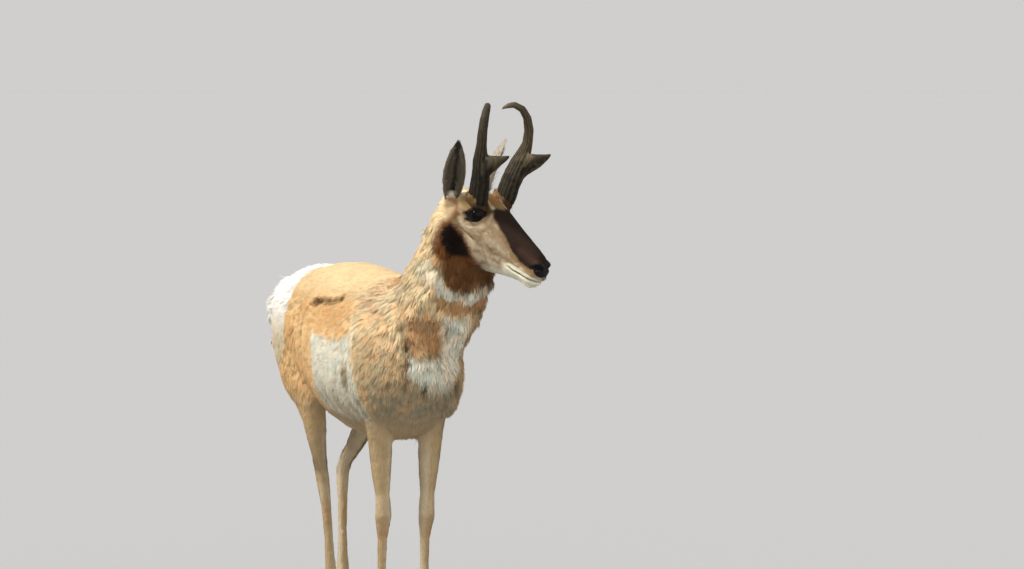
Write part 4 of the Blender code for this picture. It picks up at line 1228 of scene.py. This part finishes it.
def tufts(name, roots, length, width, lift, colours, seed, rings=SHORT_RINGS, curl=0.35, thick=0.10, shade=0.24):
    """One mesh of all the tufts: lengths and widths in mm, the lift as a share of the length."""
    random = np.random.default_rng(seed)
    count = len(roots.where)
    ones = np.ones(count)
    long = (length * ones * random.uniform(0.72, 1.28, count))[:, None] * 0.001
    wide = (width * ones * random.uniform(0.75, 1.25, count))[:, None] * 0.001
    raised = (lift * ones * random.uniform(0.6, 1.4, count))[:, None]
    across = np.cross(roots.normal, roots.lie)
    sway = (0.12 * random.normal(size=count) + 0.24 * noise(roots.where, 0.022, seed)
            + 0.12 * noise(roots.where, 0.007, seed + 1))[:, None]
    along = unit(roots.lie + across * sway)
    across = np.cross(roots.normal, along)
    start = roots.where - roots.normal * (length * 0.04 * ones)[:, None] * 0.001
    pull = np.zeros((count, 3))
    if hasattr(roots, "pull"):
        pull = roots.pull * 0.32 + roots.normal * np.linalg.norm(roots.pull, axis=1, keepdims=True) * 0.16
    top = unit(roots.normal - along * raised * 0.5)
    under = along * 0.8 + roots.normal * 0.35
    points, facing, below = [start], [unit(top - along * 0.10)], [unit(under)]
    for reach, fullness in rings:
        middle = start + along * long * reach + roots.normal * (raised * long * reach * (1 + curl * (1 - reach)))
        middle = middle + pull * reach**1.5 + roots.normal * wide * thick
        half = across * wide * fullness / 2
        points += [middle - half, middle + half]
        facing += [unit(top - across * 0.30), unit(top + across * 0.30)]
        below += [unit(under - across * 0.30), unit(under + across * 0.30)]
    tip = start + along * long + roots.normal * raised * long + across * wide * random.normal(size=(count, 1)) * 0.3
    points.append(tip + pull)
    facing.append(unit(top + along * 0.12))
    below.append(unit(under))
    each = len(points)
    points = np.stack(points, axis=1).reshape(-1, 3)
    leaf, upper = leaf_faces(len(rings))
    faces = leaf[None] + (np.arange(count) * each)[:, None, None]
    obj = mesh_of(name, points, faces.reshape(-1, 3))
    facing, below = np.stack(facing, axis=1), np.stack(below, axis=1)
    corner_normals = np.where(upper[None, :, None, None], facing[:, leaf], below[:, leaf])
    obj.data.normals_split_custom_set(corner_normals.reshape(-1, 3))
    reach = np.array([0] + [r for r, _ in rings for _ in range(2)] + [1])
    # painted shade: each leaf is darker towards its root, where the leaves above shade it, and a little lighter at
    # its tip
    tone = (1 - shade * (1 - reach) ** 1.4) * (1 + 0.14 * shade)
    tint = colours * random.uniform(0.90, 1.10, (count, 1)) * random.uniform(0.985, 1.015, (count, 3))
    shaded = np.clip(tint[:, None] * tone[None, :, None], 0, 1)
    paint_points(obj.data, "hair_colour", shaded.reshape(-1, 3))
    spread = np.zeros((each, 2))
    spread[:, 0] = reach * PATCH
    spread[1:-1, 1] = np.tile((0, PATCH), len(rings))
    spread[[0, -1], 1] = PATCH / 2
    place = np.clip(roots.unwrap[:, None] + spread[None] - PATCH / 2, 0, 1).reshape(-1, 2)
    corners = np.empty(len(obj.data.loops), np.int32)
    obj.data.loops.foreach_get("vertex_index", corners)
    layer = obj.data.uv_layers.new(name="OFBake")
    layer.data.foreach_set("uv", place[corners].astype(np.float32).ravel())
    print(name, "tufts:", count, "triangles:", len(obj.data.polygons))
    return obj


# %% The coat's own finish
coat_paint = Paint("coat_hair")
strands = coat_paint.grain(900, 2, 0.6)
coat_paint.set(Base_Color=coat_paint.mix(strands.clip(0.3, 0.7) * 0.5, coat_paint.attribute("hair_colour"),
                                         (0.88, 0.84, 0.80), "MULTIPLY"))
coat_paint.set(Roughness=0.70 + strands * 0.25, Specular_IOR_Level=0.10)
coat_paint.bump(strands, 0.0005)

# %% [markdown]
# ## Growing the coat
# The hair is shortest on the face and feet, longer on the trunk, and longest on the rump, the
# throat and the nape. Each region is scattered with a spacing that suits its length, and each
# becomes two pieces or more, so that none is too heavy.

# %% How long and how raised the hair is
def hair_length(points):
    body, head = to_body(points), to_head(points)
    x, y, z = body.T
    long = 17.0 + 5 * ramp(x, 150, 260)
    long = long + (15 - long) * (1 - ramp(z, 470, 600))
    long = long + (9 - long) * (1 - ramp(z, 330, 430))
    long = long + 8 * (1 - ramp(z, 520, 560)) * ramp(z, 470, 500) * (np.abs(y) < 80)
    front = ramp(x - (z - 800) * 0.30, 340, 372) * ramp(z, 600, 680)
    long = long + 1 * front
    rump = 1 - ramp(x - np.interp(z, *RUMP_EDGE), -20, 20)
    long = long + (11 + 12 * ramp(z, 740, 830) - long) * rump * ramp(z, 620, 720)
    face = 11.0 - 5.5 * ramp(head[:, 0], 60, 190)
    face = face + 9 * (1 - ramp(head[:, 2], -110, -80)) * (1 - ramp(head[:, 0], 60, 150))
    away = (mirrored(head) - HORN_SEAT) / (37, 29, 26)
    face = face + 1.5 * (1 - ramp(np.linalg.norm(away, axis=1), 1.0, 1.35))
    for side in SIDES:
        distance, out, rise, depth = almond_place(points, side)
        face = face * (1 - 0.55 * (1 - ramp(out, 1.3, 2.2)) * (distance < 40) * (depth > 0))
    return long + (face - long) * ramp(on_head(points), -25, 25)


def hair_lift(points):
    x, y, z = to_body(points).T
    lift = 0.09 + 0.06 * ramp(x, 150, 330) * ramp(z, 560, 640)
    rump = 1 - ramp(x - np.interp(z, *RUMP_EDGE), -20, 20)
    lift = lift + 0.27 * rump * ramp(z, 730, 830)
    return lift + (0.17 - lift) * ramp(on_head(points), -25, 25)


skin_ground = Ground(
    skin, lie=lie, edge=lock_edge, reach=lock_reach, tone=lock_tone, depth=lock_depth,
    pull=lock_pull * lock_depth[:, None],
)
body = to_body(skin_ground.points)
side_place = mirrored(to_head(skin_ground.points))
head_part = on_head(skin_ground.points)
rump_part = body[:, 0] - np.interp(body[:, 2], *RUMP_EDGE)
mouth_line = groove(side_place * (1, 0, 1), [(x, 0, z) for x, z in MOUTH], 3.4)
haired = (nose_leather(side_place) < 0.4) & (mouth_line < 0.15)
for side in SIDES:
    distance, out, rise, depth = almond_place(skin_ground.points, side)
    haired &= ~((out < 1.22) & (depth > 0) & (distance < 32))
face_ground = (head_part > 8) & haired
neck_ground = (head_part <= 10) & (body[:, 2] > 640) & (body[:, 0] + (body[:, 2] - 800) * 0.4 > 300)
rump_ground = (head_part < 0) & (rump_part < 12) & (body[:, 2] > 600)
low_ground = (body[:, 2] < 360) & (body[:, 2] > 34)
thigh_ground = (body[:, 2] < 560) & (body[:, 2] >= 352)
trunk_ground = (head_part < 0) & ~neck_ground & ~rump_ground & (body[:, 2] >= 552)

REGIONS = (
    ("face", face_ground, 0.00170, 1.5, SHORT_RINGS, 31),
    ("neck", neck_ground, 0.0030, 2.6, LONG_RINGS, 33),
    ("trunk", trunk_ground, 0.0027, 2.4, SHORT_RINGS, 35),
    ("rump", rump_ground, 0.0028, 2.2, SHORT_RINGS, 37),
    ("upper_leg", thigh_ground, 0.0026, 2.2, SHORT_RINGS, 39),
    ("lower_leg", low_ground, 0.0021, 1.8, SHORT_RINGS, 41),
)


def grow(name, roots, width, seed, rings):
    where = roots.where
    long = hair_length(where)
    halfway = where + roots.lie * (long * 0.0005)[:, None]
    # painted shade in the gaps between locks and a painted highlight on their crests, from lock_shade
    colours = coat_colour(halfway, roots.normal) * lock_shade(roots.edge, roots.reach, roots.depth)[:, None]
    colours = colours * (1 + roots.tone * 0.07 * (0.3 + roots.depth))[:, None]
    rust = np.clip(roots.tone * 0.10 * roots.depth, -0.1, 0.2)
    colours = np.clip(colours * np.stack([1 + rust * 0.3, 1 - rust * 0.5, 1 - rust], axis=1), 0, 1)
    lift = hair_lift(where) * (1 + 0.5 * roots.depth * ramp(roots.reach, -0.2, 0.9))
    piece = tufts(name, roots, long, width, lift, colours, seed, rings)
    dress(piece, coat_paint, "coat")


for region, wanted, spacing, width, rings, seed in REGIONS:
    roots = scatter(skin_ground, wanted, spacing, seed)
    body = to_body(roots.where)
    middle = to_head(roots.where)[:, 1] if region == "face" else body[:, 1] - (60 if region == "neck" else 0)
    for number, (side, mask) in enumerate((("right", middle < 0), ("left", middle >= 0))):
        if region == "trunk":
            for part, half in (("fore", body[:, 0] > 20), ("hind", body[:, 0] <= 20)):
                grow(f"coat_{region}_{part}_{side}", roots.only(mask & half), width, seed + number, rings)
        else:
            grow(f"coat_{region}_{side}", roots.only(mask), width, seed + number, rings)

# %% [markdown]
# ## Eyes
# A pronghorn's eye is big and nearly black, with a wide flat pupil. Each is a ball that bulges a
# little where the clear cornea is, with a very glossy coat. The colour comes from the angle to
# the way the eye looks.

# %% Eyeballs
def eyeball(side):
    outward, forward, upward = eye_axes(side)
    bpy.ops.object.select_all(action="DESELECT")
    bpy.ops.mesh.primitive_uv_sphere_add(segments=64, ring_count=32, radius=eye_radius)
    ball = bpy.context.active_object
    ball.name = "eyeball_" + side
    points = coordinates(ball.data)
    facing = unit(points) @ outward
    points *= (1 + 0.035 * ramp(facing, 0.80, 0.95))[:, None]
    move_points(ball.data, points + eye_centre[side])
    ball.data.shade_smooth()
    ahead, above = unit(points) @ forward, unit(points) @ upward
    round_iris = ramp(np.hypot(ahead, above), 0.60, 0.68)
    pupil = 1 - ramp(np.hypot(ahead / 0.46, above / 0.24), 0.85, 1.05)
    colour = blend(np.tile((0.0045, 0.0022, 0.0012), (len(points), 1)), (0.001, 0.001, 0.001), pupil)
    colour = blend(colour, (0.0015, 0.001, 0.001), round_iris)
    paint_points(ball.data, "eye_colour", colour)
    dress(ball, eye_paint, "eye", "eye_" + side)


eye_paint = Paint("wet_dark_eye")
rays = eye_paint.grain(420, 2, 0.5)
eye_paint.set(Base_Color=eye_paint.mix(rays * 0.5, eye_paint.attribute("eye_colour"), (0.5, 0.4, 0.35), "MULTIPLY"))
eye_paint.set(Roughness=0.05, Coat_Weight=0.04, Coat_Roughness=0.02, Specular_IOR_Level=0.08)
for side in SIDES:
    eyeball(side)

# %% [markdown]
# ## Eyelids and lashes
# The lids are what makes an eye look real: a thick rim that hugs the ball, black and slightly
# damp. A torus has the right connections, a ring of small circles, so it is added and each of
# its points is laid along the almond of the opening. The upper lid is thicker and overhangs.

# %% Lids shaped from a ring
RING_STEPS = 72
LID_STEPS = 12


def almond_way(side, turn):
    """The direction from the eye's centre to the rim of the opening at this turn."""
    outward, forward, upward = eye_axes(side)
    ahead = ALMOND_HALF_WIDTH * np.sign(np.cos(turn)) * np.abs(np.cos(turn)) ** (2 / 1.7)
    height = np.where(np.sin(turn) > 0, ALMOND_UP, ALMOND_DOWN)
    rise = (height * np.sin(turn))[:, None]
    ahead = ahead[:, None]
    flat = outward * np.cos(ahead) + forward * np.sin(ahead)
    return unit(flat * np.cos(rise) + upward * np.sin(rise))


def lid(side):
    bpy.ops.object.select_all(action="DESELECT")
    bpy.ops.mesh.primitive_torus_add(
        major_segments=RING_STEPS, minor_segments=LID_STEPS, major_radius=1, minor_radius=0.2
    )
    ring = bpy.context.active_object
    ring.name = "eyelids_" + side
    points = coordinates(ring.data)
    turn = np.arctan2(points[:, 1], points[:, 0])
    out = (np.hypot(points[:, 0], points[:, 1]) - 1) / 0.2
    up = points[:, 2] / 0.2
    if SIDES[side] < 0:
        turn = -turn
    way = almond_way(side, turn)
    outwards = unit(almond_way(side, turn) - eye_axes(side)[0] * (way @ eye_axes(side)[0])[:, None])
    outwards = unit(outwards - way * (outwards * way).sum(axis=1, keepdims=True))
    upper = ramp(np.sin(turn), -0.1, 0.5)
    wide = 2.5 + 1.5 * upper
    high = 1.15 + 0.75 * upper
    shape = way * (eye_radius * 1000 + 0.9 + up * high + 0.3 * upper)[:, None]
    shape += outwards * (1.2 + out * wide)[:, None]
    move_points(ring.data, eye_centre[side] + shape * 0.001)
    ring.data.shade_smooth()
    pick(ring)
    bpy.ops.object.mode_set(mode="EDIT")
    bpy.ops.mesh.select_all(action="SELECT")
    bpy.ops.mesh.normals_make_consistent(inside=False)
    bpy.ops.object.mode_set(mode="OBJECT")
    dress(ring, lid_paint, "coat")


def lashes(side):
    steps = np.linspace(0.12, 0.90, 34) * math.pi
    way = almond_way(side, steps)
    outward, forward, upward = eye_axes(side)
    where = eye_centre[side] + way * (eye_radius + 0.0024)
    lie = unit(outward * 0.9 + upward * 0.25 + forward * 0.12 + way * 0.3)
    normal = unit(upward - lie * (lie @ upward)[:, None])
    roots = Roots(where=where, normal=normal, lie=lie, unwrap=np.full((len(steps), 2), 0.5))
    black = np.tile((0.010, 0.008, 0.007), (len(steps), 1))
    piece = tufts("lashes_" + side, roots, 9.5, 0.8, 0.12, black, 61, LONG_RINGS, curl=-0.4)
    dress(piece, coat_paint, "coat")


lid_paint = Paint("dark_eyelid")
wrinkles = lid_paint.grain(500, 3, 0.6)
lid_paint.set(Base_Color=lid_paint.mix(wrinkles, (0.007, 0.005, 0.004), (0.014, 0.009, 0.007)))
lid_paint.set(Roughness=0.55 + wrinkles * 0.2, Specular_IOR_Level=0.2)
lid_paint.bump(wrinkles, 0.0006)
for side in SIDES:
    lid(side)
    lashes(side)

# %% [markdown]
# ## Horns
# A pronghorn's horn is a sheath of fused hair over a flat core: fluted and rough near the base,
# smooth near the tip, nearly black. The plain horn's copy is remeshed finely, then flutes that
# run up the horn and low growth rings are pressed into it, measured along its middle line.

# %% Horns with flutes and rings
HORN_LINE = [
    (68, 51, 33), (65, 53, 50), (58, 56, 68), (50, 60, 90), (44, 66, 110), (38, 74, 130), (32, 81, 152),
    (24, 86, 174), (8, 87, 203), (-10, 80, 228), (-27, 67, 243), (-42, 50, 245), (-50, 37, 236), (-54, 26, 222),
]
HORN_VOXEL = 0.0019
# painted light: the left horn is painted lighter, as the side that the light falls on, and the right one darker
HORN_PAINTED_LIGHT = {"right": 1.0, "left": 1.9}


def copy_of(name, new_name):
    """A copy of a node's mesh as a piece of its own, with its loose triangles joined."""
    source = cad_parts[name]
    obj = bpy.data.objects.new(new_name, source.data.copy())
    bpy.context.scene.collection.objects.link(obj)
    pick(obj)
    bpy.ops.object.mode_set(mode="EDIT")
    bpy.ops.mesh.select_all(action="SELECT")
    bpy.ops.mesh.remove_doubles(threshold=0.00002)
    bpy.ops.object.mode_set(mode="OBJECT")
    return obj


def remesh(obj, voxel, smooth):
    for layer in list(obj.data.color_attributes):
        obj.data.color_attributes.remove(layer)
    apply_modifier(obj, "REMESH", mode="VOXEL", voxel_size=voxel)
    apply_modifier(obj, "SMOOTH", factor=0.5, iterations=smooth)
    obj.data.shade_smooth()


def along_line(place, line):
    """Distance along a line of stations, in mm, and the nearest point on it."""
    line = np.array(line, float)
    best = np.full(len(place), 1e9)
    reach = np.zeros(len(place))
    nearest = np.zeros_like(place)
    start = 0.0
    for p, q in zip(line, line[1:]):
        way = q - p
        long = np.linalg.norm(way)
        share = np.clip((place - p) @ way / long**2, 0, 1)[:, None]
        at = p + share * way
        away = np.linalg.norm(place - at, axis=1)
        closer = away < best
        best[closer] = away[closer]
        reach[closer] = start + share[closer, 0] * long
        nearest[closer] = at[closer]
        start += long
    return reach, nearest


def horn(side):
    obj = copy_of("horn_" + side, "horn_sheath_" + side)
    remesh(obj, HORN_VOXEL, 4)
    points = coordinates(obj.data)
    normals = coordinates(obj.data, "normal")
    place = mirrored(to_head(points))
    reach, nearest = along_line(place, HORN_LINE)
    around = np.arctan2(*(place - nearest)[:, :2].T)
    rough = 1 - ramp(reach, 90, 250)
    flutes = np.sin(around * 13 + noise(points, 0.03, 51) * 1.6 + reach * 0.012) * (0.25 + 0.75 * rough)
    fine = np.sin(around * 31 + noise(points, 0.02, 52) * 3)
    knobs = noise(points, 0.0075, 53) * rough
    rings = np.sin(reach / 15 + noise(points, 0.04, 54) * 1.2) * (1 - ramp(reach, 120, 220))
    push = 0.55 * flutes + 0.16 * fine + 0.62 * knobs + 0.35 * rings
    buried = ramp(reach, 4, 22)
    move_points(obj.data, points + normals * (push * buried * 0.001 * 0.8)[:, None])
    top = ramp(reach, 215, 300)
    dark = ramp(0.5 * flutes + 0.5 * knobs + 0.25 * fine, -0.6, 0.7)
    colour = blend(np.tile((0.008, 0.006, 0.003), (len(points), 1)), (0.042, 0.033, 0.017), dark)
    # paler towards the tip: partly the horn's own colour, partly a painted highlight where the horn curves back
    colour = blend(colour, (0.085, 0.070, 0.042), top * 0.6 * ramp(noise(points, 0.02, 55), -0.5, 0.7))
    # painted shade: darker towards the base; then each horn gets its painted light
    colour = colour * (0.36 + 0.64 * ramp(reach, 50, 150))[:, None] * HORN_PAINTED_LIGHT[side]
    paint_points(obj.data, "horn_colour", colour)
    paint_value(obj.data, "worn", ramp(reach, 150, 300))
    dress(obj, horn_paint, "horn", "horn_" + side)
    print("horn triangles:", len(triangles(obj.data)))


horn_paint = Paint("horn_sheath")
fibres = horn_paint.grain(230, 5, 0.65, horn_paint.place((3.2, 3.2, 0.5)))
specks = horn_paint.grain(900, 3, 0.6)
worn = horn_paint.attribute("worn", out=2)
horn_paint.set(Base_Color=horn_paint.mix(fibres.clip(0.35, 0.7), horn_paint.attribute("horn_colour"),
                                         (1.9, 1.8, 1.7), "MULTIPLY"))
horn_paint.set(Roughness=0.62 - worn * 0.20 + specks * 0.12, Specular_IOR_Level=0.18)
horn_paint.bump(fibres * 0.7 + specks * 0.3, 0.0011)
for side in SIDES:
    horn(side)

# %% [markdown]
# ## Ears
# The ears are long, thin cups. Their copies are remeshed, and then grown with hair of their
# own: short tan hair on the back, a dark fringe along the rim, and long pale hair that crosses
# the opening from its front edge, with the skin showing between. Shade is painted inside the
# cup: the skin there is darker, darkest along the middle, and the pale hair is painted dark.

# %% Ears and their hair
EAR_ROOT = (-2, 52, -12)
EAR_AIM = np.array((-0.232, 0.238, 0.943))
EAR_CUP = np.array((0.50, 0.80, 0.10))
EAR_LENGTH = 160


def ear(side):
    obj = copy_of("ear_" + side, "ear_shell_" + side)
    remesh(obj, 0.0016, 2)
    points = coordinates(obj.data)
    normals = coordinates(obj.data, "normal")
    place = mirrored(to_head(points)) - EAR_ROOT
    sign = SIDES[side]
    aim = unit(EAR_AIM[None])[0]
    cup = unit((EAR_CUP - aim * (EAR_CUP @ aim))[None])[0]
    rise = place @ aim / EAR_LENGTH
    facing = (normals @ head_axes) * (1, sign, 1) @ cup
    local = (normals @ head_axes) * (1, sign, 1)
    hollow = ramp(facing, 0.05, 0.45)
    thickness = np.abs(local @ np.cross(aim, cup))
    rim = np.maximum(ramp(thickness, 0.72, 0.92) * ramp(rise, 0.2, 0.4), ramp(rise, 0.93, 0.99))
    colour = blend(np.tile((0.40, 0.27, 0.135), (len(points), 1)), (0.24, 0.15, 0.075), ramp(rise, 0.35, 1.0))
    # painted shade inside the cup of the ear, darkest along its middle
    colour = blend(colour, (0.15, 0.12, 0.085), hollow * 0.7)
    colour = blend(colour, (0.030, 0.024, 0.018), hollow * bump_at(place @ np.cross(aim, cup), 0, 24))
    colour = blend(colour, (0.055, 0.036, 0.024), rim * ramp(rise, 0.55, 0.9) * 0.8)
    paint_points(obj.data, "hair_colour", colour * 0.85)
    paint_value(obj.data, "bare", np.zeros(len(points)))
    pick(obj)
    bpy.ops.object.mode_set(mode="EDIT")
    bpy.ops.mesh.select_all(action="SELECT")
    bpy.ops.uv.smart_project(angle_limit=1.15, island_margin=0.004)
    bpy.ops.object.mode_set(mode="OBJECT")
    obj.data.uv_layers[0].name = "OFBake"
    dress(obj, skin_paint, "coat", "ear_" + side)
    tip_way = head_axes @ (aim * (1, sign, 1))
    lie = np.tile(tip_way, (len(points), 1))
    lie -= normals * (lie * normals).sum(axis=1, keepdims=True)
    short = scatter(Ground(obj, lie=unit(lie)), (hollow < 0.7) & (rise > 0.02), 0.0022, 71)
    shade = blend(np.tile((0.42, 0.285, 0.145), (len(short.where), 1)), (0.25, 0.155, 0.078),
                  ramp((mirrored(to_head(short.where)) - EAR_ROOT) @ aim / EAR_LENGTH, 0.35, 1.0))
    towards_middle = ramp(-(short.normal @ head_axes)[:, 1] * sign, 0.1, 0.6)
    shade = blend(shade, (0.56, 0.51, 0.42), towards_middle * 0.85)
    grown = tufts("ear_coat_" + side, short, 9, 1.9, 0.12, shade, 72)
    dress(grown, coat_paint, "coat")
    side_way = head_axes @ (np.cross(aim, cup) * (1, sign, 1))
    cup_way = head_axes @ (cup * (1, sign, 1))
    edge = (np.abs(place @ np.cross(aim, cup)) > 12) & (hollow > 0.2) & (rise > 0.05)
    across = -np.sign(place @ np.cross(aim, cup))[:, None] * side_way
    inward = unit(across * 0.7 + tip_way * 0.9 + cup_way * 0.25)
    inward = unit(inward - normals * (inward * normals).sum(axis=1, keepdims=True) * 0.7)
    inner = scatter(Ground(obj, lie=inward), edge, 0.0021, 73)
    # painted shade: the pale hair inside the ear is painted dark, as it lies in the cup's shade
    pale = np.tile((0.19, 0.165, 0.120), (len(inner.where), 1))
    grown = tufts("ear_inner_hair_" + side, inner, 17, 1.0, 0.16, pale, 74, LONG_RINGS)
    dress(grown, coat_paint, "coat")


for side in SIDES:
    ear(side)

# %% [markdown]
# ## Hooves
# The hooves are black, hard horn, a little worn and dusty near the ground. Their copies are
# remeshed and get fine growth lines, which never reach the sole, so that they still stand flat.

# %% Hooves with growth lines
hoof_paint = Paint("black_hoof")
dust = hoof_paint.grain(160, 5, 0.6)
scratches = hoof_paint.grain(900, 3, 0.7, hoof_paint.place((1, 1, 0.2)))
hoof_paint.set(Base_Color=hoof_paint.mix(dust.clip(0.45, 0.75) * 0.6, (0.014, 0.012, 0.011), (0.085, 0.070, 0.055)))
hoof_paint.set(Roughness=0.36 + dust * 0.3)
hoof_paint.bump(scratches, 0.0004)
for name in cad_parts:
    if not name.startswith("hoof"):
        continue
    obj = copy_of(name, name.replace("hoof", "hoof_horn"))
    floor_level = coordinates(obj.data)[:, 2].min()
    remesh(obj, 0.0013, 2)
    points = coordinates(obj.data)
    normals = coordinates(obj.data, "normal")
    lines = np.sin(points[:, 2] * 1000 / 2.6 + noise(points, 0.02, 81)) * 0.16 + noise(points, 0.004, 82) * 0.12
    flat = ramp(points[:, 2] * 1000, 1.5, 5) * (np.abs(normals[:, 2]) < 0.8)
    points += normals * (lines * flat * 0.001)[:, None]
    points[:, 2] = np.where(points[:, 2] < 0.0012, floor_level, points[:, 2])
    move_points(obj.data, points)
    dress(obj, hoof_paint, "hoof", name)
